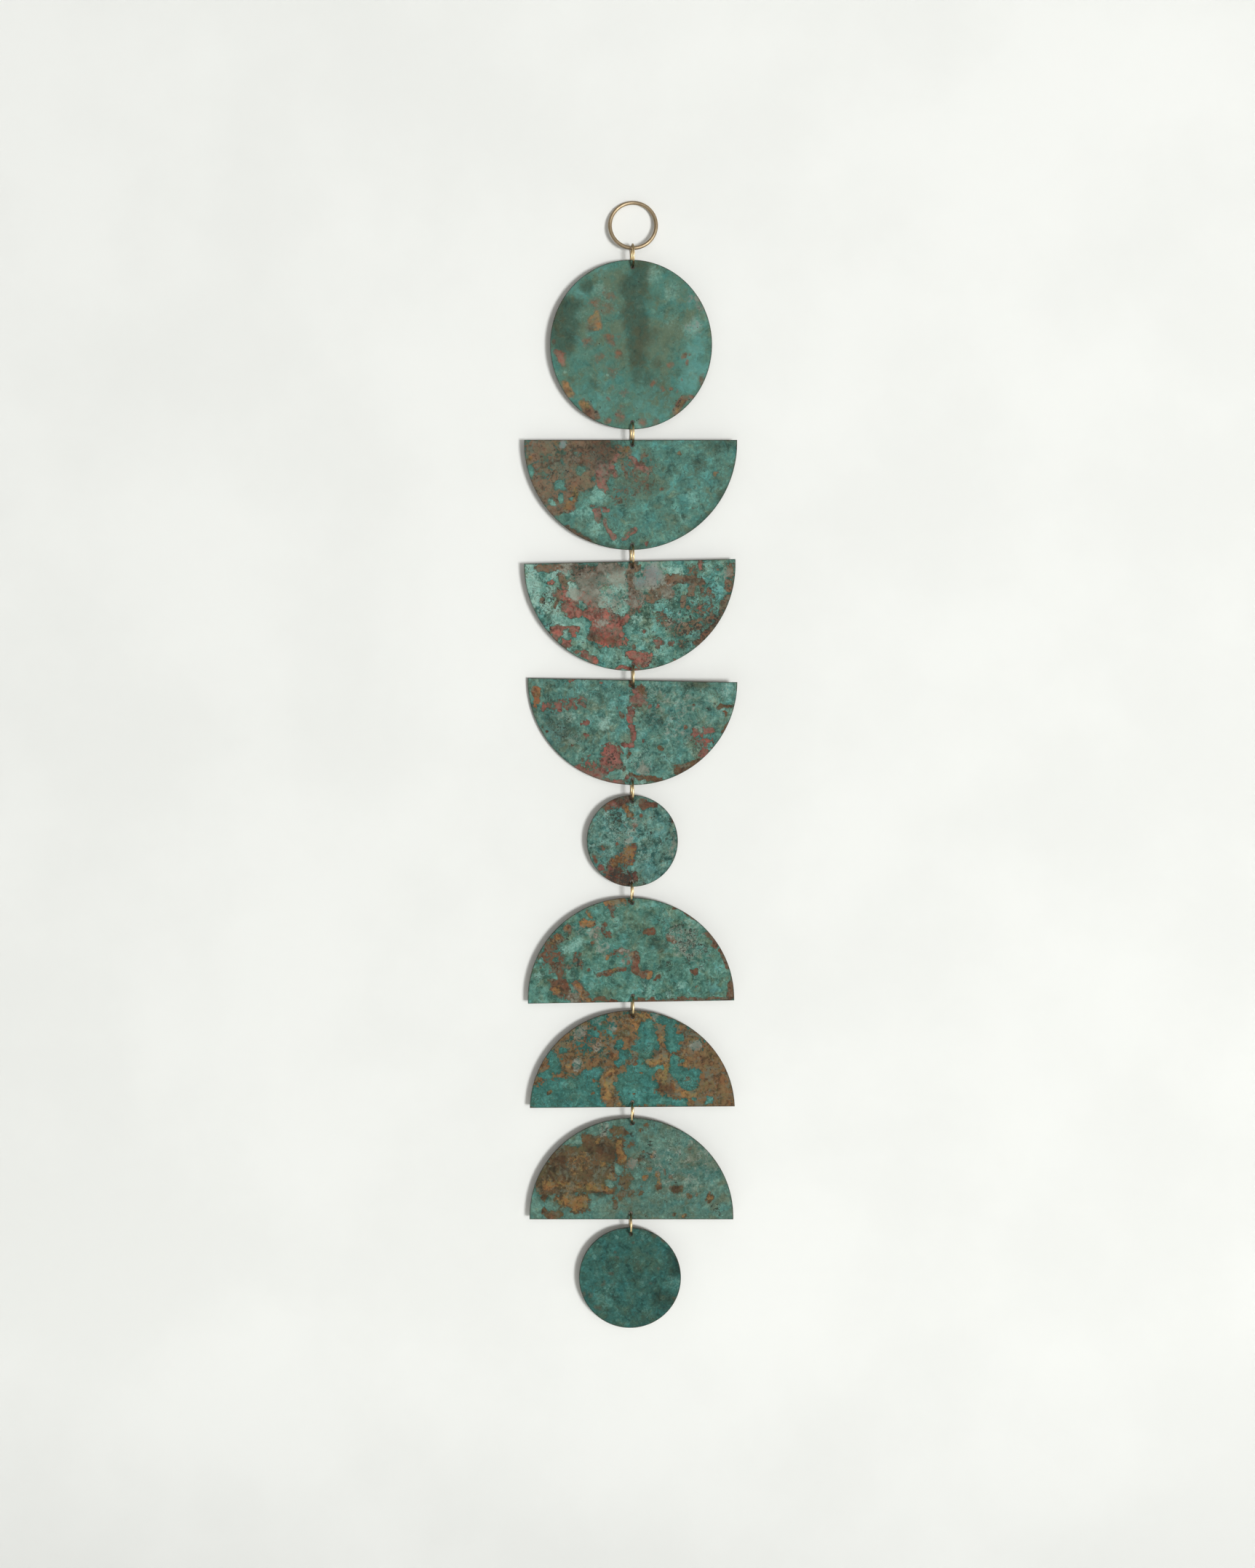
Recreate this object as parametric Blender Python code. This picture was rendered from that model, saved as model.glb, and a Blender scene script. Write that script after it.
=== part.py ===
"""Brass wall hanging: nine verdigris sheet-brass plates, hung under each other from a plain ring.

Metres, +Z up, front facing -Y. The origin is the inside top of the hanging ring, where a pin
holds it up. The ring leans: its top is near the wall, and its bottom is held off the wall by the
links. Round wire links join the ring and the plates: each link stands nearly square to the wall
and passes through a hole near the lower edge of one plate and near the top edge of the next.
"""

import math
from typing import NamedTuple

import bpy
from mathutils import Matrix, Vector

# Driving dimensions. All the half discs are cut from blanks of one size, four inches across.
SHEET = 0.0008
HALF_BLANK_RADIUS = 0.0508
HOLE_RADIUS = 0.0010

RING_INSIDE_RADIUS = 0.0100
RING_WIRE_RADIUS = 0.0009
RING_LEAN = 12.0

LINK_WIRE_RADIUS = 0.0005
HOLE_TO_HOLE = 0.01075
# The links hang a touch to the left of the ring's lowest point.
HANG_X = -0.0002
RUNNING_GAP = 0.0003

# How finely the round forms are divided.
BLANK_SEGMENTS = 80
HOLE_SEGMENTS = 14
RING_SEGMENTS = (44, 10)
LINK_SEGMENTS = (20, 8)
CUTTER_REACH = 0.004

# A wire lies off the middle of its hole, towards the load, by what play is left over the gap.
WIRE_OFFSET = HOLE_RADIUS - LINK_WIRE_RADIUS - RUNNING_GAP
LINK_RADIUS = HOLE_TO_HOLE / 2 - WIRE_OFFSET
RING_RADIUS = RING_INSIDE_RADIUS + RING_WIRE_RADIUS

RING_TONE = (0.27, 0.20, 0.13)
LINK_TONE = (0.78, 0.57, 0.28)


class Plate(NamedTuple):
    """One hand-cut plate. Lengths are in metres and angles in degrees.

    outline is disc, bowl (half disc, flat edge up) or dome (half disc, flat edge down).
    Each hole has its inset from the edge it is near, and its offset to the right of the middle.
    roll lifts the right end, and yaw turns the left edge back towards the wall.
    """

    name: str
    outline: str
    width: float
    height: float
    top_inset: float
    top_offset: float
    bottom_inset: float
    bottom_offset: float
    roll: float
    yaw: float
    tone: tuple


HALF_WIDTH = 2 * HALF_BLANK_RADIUS
PLATES = (
    Plate("large_disc", "disc", 0.0768, 0.0793, 0.0034, 0.0007, 0.0034, 0.0006, 0.0, 0.0,
          (0.10, 0.24, 0.20)),
    Plate("upper_bowl", "bowl", HALF_WIDTH, 0.0523, 0.0024, 0.0008, 0.0025, 0.0008, 0.0, 0.0,
          (0.13, 0.20, 0.16)),
    Plate("middle_bowl", "bowl", HALF_WIDTH, 0.0527, 0.0028, 0.0012, 0.0028, 0.0006, 1.26, 0.0,
          (0.17, 0.24, 0.20)),
    Plate("lower_bowl", "bowl", HALF_WIDTH, 0.0511, 0.0033, 0.0005, 0.0026, 0.0008, -0.87, 4.0,
          (0.13, 0.24, 0.21)),
    Plate("small_disc", "disc", 0.0444, 0.0452, 0.0031, 0.0, 0.0026, -0.0001, 0.0, 0.0,
          (0.14, 0.24, 0.21)),
    Plate("upper_dome", "dome", HALF_WIDTH, 0.0522, 0.0027, 0.0013, 0.0032, 0.0009, 0.92, 0.0,
          (0.14, 0.23, 0.19)),
    Plate("middle_dome", "dome", HALF_WIDTH, 0.0490, 0.0033, 0.0006, 0.0026, 0.0001, 0.46, 0.0,
          (0.15, 0.19, 0.15)),
    Plate("lower_dome", "dome", HALF_WIDTH, 0.0520, 0.0026, 0.0005, 0.0031, -0.0003, 0.0, 0.0,
          (0.16, 0.20, 0.16)),
    Plate("end_disc", "disc", 0.0509, 0.0521, 0.0034, 0.0004, 0.0, 0.0, 0.0, 0.0,
          (0.09, 0.24, 0.22)),
)

# How far each link is turned out of square with the wall, in degrees, from the top down.
LINK_TURNS = (5.5, 6.0, 6.5, 2.5, 4.0, -3.5, 2.5, -3.5, 2.0)


def clear_scene():
    for item in list(bpy.data.objects):
        bpy.data.objects.remove(item)


def new_collection(name):
    made = bpy.data.collections.new(name)
    bpy.context.scene.collection.children.link(made)
    return made


def brass(name, tone, metallic, roughness):
    """A material for one piece: its colour, how metallic it still is, and how rough."""
    material = bpy.data.materials.new(name)
    material.use_nodes = True
    shader = material.node_tree.nodes["Principled BSDF"]
    shader.inputs["Base Color"].default_value = (*tone, 1.0)
    shader.inputs["Metallic"].default_value = metallic
    shader.inputs["Roughness"].default_value = roughness
    material.diffuse_color = (*tone, 1.0)
    return material


def take_active(name, collection):
    """Names the object that was just added and moves it into the collection."""
    item = bpy.context.active_object
    item.name = name
    item.data.name = name
    for holder in list(item.users_collection):
        holder.objects.unlink(item)
    collection.objects.link(item)
    return item


def wire_ring(name, radius, wire_radius, segments, collection):
    """A closed ring of round wire, lying in its own XY plane about its own origin."""
    around, across = segments
    bpy.ops.mesh.primitive_torus_add(
        major_radius=radius,
        minor_radius=wire_radius,
        major_segments=around,
        minor_segments=across,
    )
    ring = take_active(name, collection)
    ring.data.shade_smooth()
    return ring


def lying_cylinder(name, radius, length, segments, collection):
    """A cylinder whose axis is its own Y, with smooth sides and flat ends."""
    bpy.ops.mesh.primitive_cylinder_add(radius=radius, depth=length, vertices=segments)
    item = take_active(name, collection)
    item.data.transform(Matrix.Rotation(math.radians(90), 4, "X"))
    for face in item.data.polygons:
        face.use_smooth = len(face.vertices) == 4
    return item


def make_cutter(item, plate_object):
    """Hides the item, fixes it to its plate and cuts it out of that plate."""
    item.hide_render = True
    item.display_type = "WIRE"
    item.parent = plate_object
    cut = plate_object.modifiers.new(item.name, "BOOLEAN")
    cut.operation = "DIFFERENCE"
    cut.solver = "EXACT"
    cut.object = item


def hole_places(plate):
    """The holes' centres from the middle of the plate's blank, and the flat edge's height.

    A bowl's flat edge is above the blank's centre by the height past its radius, and a dome's
    is as far below it. A disc has no flat edge.
    """
    past_centre = plate.height - HALF_BLANK_RADIUS
    if plate.outline == "bowl":
        top, bottom, flat = past_centre, -HALF_BLANK_RADIUS, past_centre
    elif plate.outline == "dome":
        top, bottom, flat = HALF_BLANK_RADIUS, -past_centre, -past_centre
    else:
        top, bottom, flat = plate.height / 2, -plate.height / 2, None
    top_hole = Vector((plate.top_offset, 0, top - plate.top_inset))
    bottom_hole = Vector((plate.bottom_offset, 0, bottom + plate.bottom_inset))
    return top_hole, bottom_hole, flat


def make_plate(plate, parts, cutters):
    """The plate's solid, with its own origin in the middle of its top hole."""
    top_hole, bottom_hole, flat = hole_places(plate)
    solid = lying_cylinder(plate.name, plate.width / 2, SHEET, BLANK_SEGMENTS, parts)
    if flat is None:
        solid.data.transform(Matrix.Scale(plate.height / plate.width, 4, Vector((0, 0, 1))))
    else:
        bpy.ops.mesh.primitive_cube_add(size=2 * plate.width)
        waste = take_active(plate.name + "_waste", cutters)
        side = 1 if plate.outline == "bowl" else -1
        waste.location.z = flat + side * plate.width - top_hole.z
        make_cutter(waste, solid)
    solid.data.transform(Matrix.Translation(-top_hole))

    holes = [("top_hole", top_hole)]
    if plate.bottom_inset:
        holes.append(("bottom_hole", bottom_hole))
    for label, centre in holes:
        name = f"{plate.name}_{label}"
        drill = lying_cylinder(name, HOLE_RADIUS, CUTTER_REACH, HOLE_SEGMENTS, cutters)
        drill.location = centre - top_hole
        make_cutter(drill, solid)

    turn = Matrix.Rotation(math.radians(-plate.yaw), 4, "Z")
    turn @= Matrix.Rotation(math.radians(-plate.roll), 4, "Y")
    solid.data.materials.append(brass(plate.name + "_patina", plate.tone, 0.25, 0.75))
    return solid, turn, turn @ (bottom_hole - top_hole)


def build():
    clear_scene()
    parts = new_collection("brass_wall_hanging")
    cutters = new_collection("cutters")

    ring = wire_ring("hanging_ring", RING_RADIUS, RING_WIRE_RADIUS, RING_SEGMENTS, parts)
    lean = math.radians(RING_LEAN)
    down_ring = Vector((0, -math.sin(lean), -math.cos(lean)))
    ring.rotation_euler.x = math.radians(90) - lean
    ring.location = down_ring * RING_INSIDE_RADIUS
    ring.data.materials.append(brass("aged_ring_brass", RING_TONE, 0.8, 0.5))

    link_brass = brass("bright_link_brass", LINK_TONE, 1.0, 0.25)
    # The first link's wire lies over the ring's lowest point, and inside the ring.
    wire_place = down_ring * (RING_INSIDE_RADIUS + RING_RADIUS)
    wire_place += Vector((HANG_X, 0, RING_WIRE_RADIUS + RUNNING_GAP + LINK_WIRE_RADIUS))
    for number, (plate, link_turn) in enumerate(zip(PLATES, LINK_TURNS), start=1):
        link = wire_ring(
            f"link_{number}", LINK_RADIUS, LINK_WIRE_RADIUS, LINK_SEGMENTS, parts
        )
        link.rotation_euler = (0, math.radians(90), math.radians(link_turn))
        link.location = wire_place - Vector((0, 0, LINK_RADIUS))
        link.data.materials.append(link_brass)

        solid, turn, to_bottom_hole = make_plate(plate, parts, cutters)
        hole = wire_place - Vector((0, 0, 2 * LINK_RADIUS + WIRE_OFFSET))
        solid.matrix_world = Matrix.Translation(hole) @ turn
        wire_place = hole + to_bottom_hole - Vector((0, 0, WIRE_OFFSET))


build()
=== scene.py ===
"""Brass wall hanging: nine verdigris plates on round links below a plain ring, by a pale wall."""

import math

import bpy
import numpy as np
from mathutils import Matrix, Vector


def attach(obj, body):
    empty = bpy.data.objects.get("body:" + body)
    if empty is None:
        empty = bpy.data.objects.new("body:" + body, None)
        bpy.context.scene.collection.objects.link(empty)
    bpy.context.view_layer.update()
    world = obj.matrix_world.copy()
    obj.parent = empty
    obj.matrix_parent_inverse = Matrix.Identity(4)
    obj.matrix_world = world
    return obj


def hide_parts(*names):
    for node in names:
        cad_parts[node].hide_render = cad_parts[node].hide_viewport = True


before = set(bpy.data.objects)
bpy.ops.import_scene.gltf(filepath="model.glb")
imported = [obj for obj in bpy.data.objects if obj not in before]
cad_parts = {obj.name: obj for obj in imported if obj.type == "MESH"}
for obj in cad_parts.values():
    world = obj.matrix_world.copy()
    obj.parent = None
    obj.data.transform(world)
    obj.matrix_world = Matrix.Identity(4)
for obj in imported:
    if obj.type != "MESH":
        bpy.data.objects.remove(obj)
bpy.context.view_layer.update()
scene = bpy.context.scene
scene.view_settings.view_transform = "Standard"

# ---------------------------------------------------------------- camera
# A long lens a little over a metre off, level with the first half disc and tipped down at the
# middle of the hanging.

TIPPED_DOWN = 7.77

viewer = bpy.data.objects.new("viewer", bpy.data.cameras.new("viewer"))
viewer.data.sensor_width = 36.0
viewer.data.lens = 55.1
viewer.data.clip_start = 0.05
viewer.location = (-0.00261, -1.1615, -0.118)
viewer.rotation_euler = (math.radians(90 - TIPPED_DOWN), 0, 0)
scene.collection.objects.link(viewer)
scene.camera = viewer

# ---------------------------------------------------------------- hanging ring
# A ring of 1.8 mm brass rod, bent round a former until its sawn ends meet, and left to dull.
# Its top lies near the wall and its bottom leans out from it, held off by the links below.

RING_SEAM = 250
RING_SAW_CUT = 0.00006
SHARP_FOLD = 35
DIGITS = 7


def corners_of(node):
    """The CAD node's corner points, one row each, in metres."""
    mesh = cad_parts[node].data
    flat = np.empty(len(mesh.vertices) * 3, np.float32)
    mesh.vertices.foreach_get("co", flat)
    return flat.reshape(-1, 3).astype(float)


def flattest(node):
    """The CAD node's separate points, their middle, and the way in which they spread least."""
    points = np.unique(np.round(corners_of(node), DIGITS), axis=0)
    middle = points.mean(0)
    return points, middle, np.linalg.svd(points - middle, full_matrices=False)[2][-1]


def ring_in(node):
    """Centre, axis, bend radius and wire radius of the CAD node's ring. The radii are half the
    sum and half the difference of its points' greatest and least reach from the axis."""
    points, centre, axis = flattest(node)
    across = points - centre - np.outer((points - centre) @ axis, axis)
    reach = np.linalg.norm(across, axis=1)
    return centre, axis, (reach.max() + reach.min()) / 2, (reach.max() - reach.min()) / 2


def add_piece(name, points, faces, material, lay):
    """Puts points and faces in a new mesh object that rides on the root body. Each entry of the
    lay, a number or a vector for every point, becomes an attribute of the mesh."""
    mesh = bpy.data.meshes.new(name)
    mesh.from_pydata(points.tolist(), [], faces)
    for key, values in lay.items():
        kind, field = ("FLOAT", "value") if values.ndim == 1 else ("FLOAT_VECTOR", "vector")
        layer = mesh.attributes.new(key, kind, "POINT")
        layer.data.foreach_set(field, values.astype(np.float32).ravel())
    mesh.shade_smooth()
    mesh.set_sharp_from_angle(angle=math.radians(SHARP_FOLD))
    mesh.materials.append(material)
    piece = bpy.data.objects.new(name, mesh)
    scene.collection.objects.link(piece)
    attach(piece, "root")
    return piece


def bent_wire(node, seam, saw_cut, along, around):
    """Points, faces and lay of a wire bent into the node's ring, with a seam at an angle in
    degrees. It has so many steps along the wire and around it.

    Angle a runs along the wire from one side of the seam to the other, and b round the wire:
    point = centre + (bend + wire cos b)(cos a first + sin a second) + wire sin b axis.
    The saw cut is measured at the middle of the wire, and a flat end closes each side of it.
    The lay is (cos b, sin b, length along / wire radius), for streaks along the drawn wire, and
    the shade reach is how far below the centre a point is, as a share of the bend radius, which
    places the painted shade at the wire's top and bottom."""
    centre, axis, bend, wire = ring_in(node)
    first = np.cross(axis, (0, 0, 1.0))
    first /= np.linalg.norm(first)
    second = np.cross(axis, first)
    seam, half = math.radians(seam), saw_cut / 2 / bend
    a = np.linspace(seam + half, seam + 2 * math.pi - half, along + 1)[:, None]
    b = np.linspace(0, 2 * math.pi, around, endpoint=False)[None, :]
    out = (bend + wire * np.cos(b))[..., None] * (
        np.cos(a)[..., None] * first + np.sin(a)[..., None] * second
    )
    points = (centre + out + (wire * np.sin(b))[..., None] * axis).reshape(-1, 3)
    lay = np.stack(np.broadcast_arrays(np.cos(b), np.sin(b), a * bend / wire), -1)
    i, j = np.meshgrid(np.arange(along), np.arange(around), indexing="ij")
    k = (j + 1) % around
    tube = np.stack(
        (i * around + j, i * around + k, (i + 1) * around + k, (i + 1) * around + j), -1
    ).reshape(-1, 4)
    faces = tube[:, ::-1].tolist()
    faces.append(list(range(around)))
    faces.append([along * around + n for n in reversed(range(around))])
    shade_reach = (centre[2] - points[:, 2]) / bend
    return points, faces, {"lay": lay.reshape(-1, 3), "shade_reach": shade_reach}


def paint(red, green, blue):
    """A colour as it looks, 0 to 255 a channel, turned into the light that it sends back."""
    shown = np.array((red, green, blue)) / 255
    light = np.where(shown <= 0.04045, shown / 12.92, ((shown + 0.055) / 1.055) ** 2.4)
    return (*light.tolist(), 1.0)


def add_node(tree, kind, feeds=(), **settings):
    """A shader node with its settings, whose inputs are fed by a value or by a socket."""
    made = tree.nodes.new("ShaderNode" + kind)
    for key, value in settings.items():
        setattr(made, key, value)
    for key, value in dict(feeds).items():
        if isinstance(value, bpy.types.NodeSocket):
            tree.links.new(value, made.inputs[key])
        else:
            made.inputs[key].default_value = value
    return made


def work_out(tree, operation, a, b=0.0):
    """The socket of a Math node on a and b."""
    return add_node(tree, "Math", {0: a, 1: b}, operation=operation).outputs[0]


def blend(tree, amount, under, laid, how="MIX"):
    """The socket of a colour mix: a colour laid on the one under it by an amount."""
    feeds = {0: amount, 6: under, 7: laid}
    return add_node(tree, "Mix", feeds, data_type="RGBA", blend_type=how).outputs[2]


def ease(tree, value, low, high, least=0.0, most=1.0):
    """The socket of a smooth step from least to most as value goes from low to high."""
    feeds = {"Value": value, "From Min": low, "From Max": high, "To Min": least, "To Max": most}
    return add_node(tree, "MapRange", feeds, interpolation_type="SMOOTHSTEP").outputs[0]


def new_group(name, values, colours, results):
    """An empty node group that is given named values and colours and puts out a Colour and the
    named results. Returns it, the sockets that it is given, and the sockets that it fills."""
    tree = bpy.data.node_groups.new(name, "ShaderNodeTree")
    sockets = [("INPUT", "Float", key) for key in values]
    sockets += [("INPUT", "Color", key) for key in colours]
    sockets += [("OUTPUT", "Color", "Colour")] + [("OUTPUT", "Float", key) for key in results]
    for way, kind, key in sockets:
        tree.interface.new_socket(key, in_out=way, socket_type="NodeSocket" + kind)
    given = tree.nodes.new("NodeGroupInput").outputs
    return tree, given, tree.nodes.new("NodeGroupOutput").inputs


def coated(name, group, feeds, marks, bump, depth):
    """A Principled material that shows what the group puts out. The group is fed by feeds and by
    the mesh's marks, its attributes of those names. Its height is a bump of so much strength and
    of a depth in metres. Returns it, its shader's inputs and the group's outputs."""
    material = bpy.data.materials.new(name)
    material.use_nodes = True
    tree = material.node_tree
    shader = tree.nodes["Principled BSDF"].inputs
    coat = add_node(tree, "Group", feeds, node_tree=group)
    for key in marks:
        found = add_node(tree, "Attribute", attribute_name=key)
        tree.links.new(found.outputs["Fac"], coat.inputs[key])
    coat = coat.outputs
    feeds = {"Height": coat["Height"], "Strength": bump, "Distance": depth}
    tree.links.new(add_node(tree, "Bump", feeds).outputs[0], shader["Normal"])
    tree.links.new(coat["Colour"], shader["Base Color"])
    tree.links.new(coat["Roughness"], shader["Roughness"])
    return material, shader, coat


# Drawn wire: faint lines along it, tarnish in soft clouds, and painted shade towards its top and bottom
# ends, where it passes in front of a plate.
drawn_wire, given, result = new_group(
    "drawn_wire", ("Tarnish", "End_Shade"), ("Bright", "Dull"), ("Roughness", "Height")
)
lay = add_node(drawn_wire, "Attribute", attribute_name="lay").outputs["Vector"]
stretch = add_node(drawn_wire, "Mapping", {"Vector": lay, "Scale": (2.2, 2.2, 0.12)})
feeds = {"Vector": stretch.outputs[0], "Scale": 3.0, "Detail": 3.0}
lines = add_node(drawn_wire, "TexNoise", feeds).outputs[0]
place = add_node(drawn_wire, "TexCoord").outputs["Object"]
feeds = {"Vector": place, "Scale": 420.0, "Detail": 4.0}
clouds = add_node(drawn_wire, "TexNoise", feeds).outputs[0]
dulled = ease(drawn_wire, clouds, 0.3, 0.7, 0.5, 1.0)
dulled = work_out(drawn_wire, "MULTIPLY", dulled, given["Tarnish"])
colour = blend(drawn_wire, dulled, given["Bright"], given["Dull"])
# Painted shade: the wire darkens towards its top and bottom, where it passes in front of the plates.
shade_reach = add_node(drawn_wire, "Attribute", attribute_name="shade_reach").outputs["Fac"]
at_bottom, at_top = ease(drawn_wire, shade_reach, 0.36, 0.6), ease(drawn_wire, shade_reach, -0.4, -0.9, 0, 0.8)
shade_reach = work_out(drawn_wire, "ADD", at_bottom, at_top)
shade_reach = work_out(drawn_wire, "MULTIPLY", shade_reach, given["End_Shade"])
colour = blend(drawn_wire, shade_reach, colour, paint(66, 56, 38))
shade = ease(drawn_wire, lines, 0.3, 0.7, 0.9, 1.04)
colour = blend(drawn_wire, 1.0, colour, shade, "MULTIPLY")
drawn_wire.links.new(colour, result["Colour"])
rough = work_out(drawn_wire, "ADD", work_out(drawn_wire, "MULTIPLY", dulled, 0.25), 0.2)
rough = work_out(drawn_wire, "ADD", rough, work_out(drawn_wire, "MULTIPLY", lines, 0.25))
drawn_wire.links.new(rough, result["Roughness"])
drawn_wire.links.new(lines, result["Height"])


def wire_brass(name, bright, dull, tarnish, end_shade):
    """Brass wire: how bright and how dull it looks, its tarnish, and how much painted shade lies at its
    ends.
    """
    feeds = {"Bright": bright, "Dull": dull, "Tarnish": tarnish, "End_Shade": end_shade}
    material, shader, _ = coated(name, drawn_wire, feeds, (), bump=0.25, depth=0.00003)
    shader["Metallic"].default_value = 1.0
    return material


aged_brass = wire_brass("aged_ring_brass", paint(204, 184, 152), paint(168, 148, 120), 1.0, 0.0)
points, faces, lay = bent_wire("hanging_ring", RING_SEAM, RING_SAW_CUT, along=160, around=20)
ring = add_piece("ring", points, faces, aged_brass, lay)
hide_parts("hanging_ring")

# ---------------------------------------------------------------- links
# Nine jump rings of 1 mm brass wire, wound on a rod, sawn through one by one and twisted shut
# through the holes. They are newer and brighter than the plates, and each is closed by eye.

LINK_SEAMS = (205, 338, 160, 25, 192, 350, 171, 14, 200)
LINK_SAW_CUT = 0.00007

# The links carry painted shade at their top and bottom ends. The ring above carries none.
link_brass = wire_brass("bright_link_brass", paint(252, 224, 172), paint(196, 164, 112), 0.3, 0.92)
for number, seam in enumerate(LINK_SEAMS, start=1):
    node = f"link_{number}"
    points, faces, lay = bent_wire(node, seam, LINK_SAW_CUT, along=72, around=16)
    link = add_piece(f"jump_ring_{number}", points, faces, link_brass, lay)
    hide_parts(node)

# ---------------------------------------------------------------- large disc
# The top plate: sheet brass sawn to a disc three inches across, its edge filed, two holes
# drilled, and the front fumed until a smooth verdigris grew over it, smoky down the middle.

INSET = 0.00012
BEVEL = 0.0001

# Where a plate's holes are looked for: near its middle line, and in from its edge by no less
# and no more than this. Corners within a hair of the outermost one are at its end.
NEAR_MIDDLE_LINE = 0.0025
LEAST_IN, MOST_IN = 0.0012, 0.006
HAIR = 1e-5

# Net cells opened on each side of a hole's middle, cells eased towards it beyond those, and how
# much further from the hole each ring of eased points is.
OPENED, EASED = 2, 2
RING_STEP = 0.0005

# In millimetres: how far in the worn edge reaches, and how far and over what size of cloud the
# dabs' outlines are pushed about, first broadly and then finely.
WORN_BAND = 1.6
BROAD_PUSH, BROAD_CLOUD = 1.3, 5.0
FINE_PUSH, FINE_CLOUD = 0.5, 1.9
# The outline's rim takes the worn-edge colour in full. The hole rims take it a little past full, as
# painted shade that darkens the holes.
RIM_WORN, HOLE_SHADE = 1.0, 1.1
POINTS_AT_ONCE = 4000
IN_MM = 1000


def plate_in(node):
    """Where the CAD node's plate is: the middle of its box, its right, up and front directions,
    its half width and half height, and its holes' centres and radius, in metres.

    The points furthest left and right mirror each other, so the line between them is level with
    the plate."""
    points, origin, toward = flattest(node)
    toward *= -np.sign(toward[1])
    level = np.cross((0, 0, 1.0), toward)
    level /= np.linalg.norm(level)
    plane = np.stack((level, np.cross(toward, level)))
    flat = (points - origin) @ plane.T
    left = flat[flat[:, 0] < flat[:, 0].min() + HAIR].mean(0)
    right = flat[flat[:, 0] > flat[:, 0].max() - HAIR].mean(0)
    cosine, sine = (right - left) / np.linalg.norm(right - left)
    across, up = np.array(((cosine, sine), (-sine, cosine))) @ plane
    flat = (points - origin) @ np.stack((across, up)).T
    low, high = flat.min(0), flat.max(0)
    middle = (low + high) / 2
    half = (high - low) / 2
    flat -= middle
    origin = origin + middle[0] * across + middle[1] * up
    holes = []
    for side in (1, -1):
        inset = half[1] - side * flat[:, 1]
        inside = (inset > LEAST_IN) & (inset < MOST_IN)
        near = flat[(abs(flat[:, 0]) < NEAR_MIDDLE_LINE) & inside]
        if len(near):
            spot = (near.min(0) + near.max(0)) / 2
            holes.append((spot, np.ptp(near[:, 1]) / 2))
    return origin, across, up, toward, half, holes


def disc_net(half, cells):
    """A square net bent into an oval: with u and v from -1 to 1, x = half width u
    sqrt(1 - v v / 2) and z = half height v sqrt(1 - u u / 2)."""
    v, u = np.meshgrid(*(np.linspace(-1, 1, cells + 1),) * 2, indexing="ij")
    x = half[0] * u * np.sqrt(1 - v * v / 2)
    z = half[1] * v * np.sqrt(1 - u * u / 2)
    return np.stack((x, z), -1)


def pierce(net, holes):
    """Opens the net round each hole. The points at the edge of the opened cells are brought onto
    the hole's circle, and the next ones are eased towards it. Returns the net, which cells
    stay, and each hole's circle of points."""
    net = net.copy()
    rows, columns = net.shape[:2]
    stays = np.ones((rows - 1, columns - 1), bool)
    circles = []
    for spot, radius in holes:
        row, column = np.unravel_index(np.hypot(*(net - spot).T).T.argmin(), (rows, columns))
        v, u = np.meshgrid(np.arange(rows) - row, np.arange(columns) - column, indexing="ij")
        ring = np.maximum(abs(u), abs(v))
        away = net - spot
        reach = np.linalg.norm(away, axis=-1)
        reach[reach == 0] = 1
        share = np.clip((ring - OPENED) / EASED, 0, 1)
        to = spot + away / reach[..., None] * (radius + (ring - OPENED) * RING_STEP)[..., None]
        near = (ring >= OPENED) & (ring < OPENED + EASED)
        net[near] = ((1 - share)[..., None] * to + share[..., None] * net)[near]
        stays[row - OPENED : row + OPENED, column - OPENED : column + OPENED] = False
        there, back = range(-OPENED, OPENED), range(OPENED, -OPENED, -1)
        walk = [(-OPENED, n) for n in there] + [(n, OPENED) for n in there]
        walk += [(OPENED, n) for n in back] + [(n, -OPENED) for n in back]
        circles.append([(row + a) * columns + column + b for a, b in walk])
    return net, stays, circles


def turning(one, two):
    """Above zero where the rows of two lie to the left of those of one, as a whole: the sum of
    one x times two z, less one z times two x."""
    return (one[:, 0] * two[:, 1] - one[:, 1] * two[:, 0]).sum()


def cloud(x, z, size, seed):
    """Smooth random heights from 0 to 1: random numbers on a square mesh of the given size,
    joined by the curve 3 t t - 2 t t t."""
    side, middle = 97, 40
    heights = np.random.default_rng(seed).random((side, side))
    u, v = x / size + middle, z / size + middle
    i, j = np.floor(u).astype(int), np.floor(v).astype(int)
    s, t = u - i, v - j
    s, t = s * s * (3 - 2 * s), t * t * (3 - 2 * t)
    i, j, right, above = i % side, j % side, (i + 1) % side, (j + 1) % side
    low = heights[i, j] * (1 - s) + heights[right, j] * s
    high = heights[i, above] * (1 - s) + heights[right, above] * s
    return low * (1 - t) + high * t


def dabbed(x, z, dabs):
    """How strongly dabs of one finish lie at each point. All lengths are in millimetres from
    the middle of the plate. A dab is (x, z, radius), or a stroke (x, z, to x, to z, radius), and
    may end with a strength. It is 1.5 - distance / radius, from 0 to 1, times the strength."""
    found = np.zeros_like(x)
    for dab in dabs:
        stroke = len(dab) > 4
        ax, az = dab[:2]
        bx, bz = dab[2:4] if stroke else dab[:2]
        radius = dab[4] if stroke else dab[2]
        strength = dab[-1] if len(dab) in (4, 6) else 1.0
        length = (bx - ax) ** 2 + (bz - az) ** 2
        share = np.clip(((x - ax) * (bx - ax) + (z - az) * (bz - az)) / (length or 1), 0, 1)
        away = np.hypot(x - ax - share * (bx - ax), z - az - share * (bz - az))
        found = np.maximum(found, strength * np.clip(1.5 - away / radius, 0, 1))
    return found


# What may lie on a plate: three tones of bare metal, dark stains, tints of the crust, a milky
# film and dark dots.
FINISHES = ("brown", "ochre", "copper", "smoke", "pale", "blue", "olive", "grey", "specks")


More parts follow.
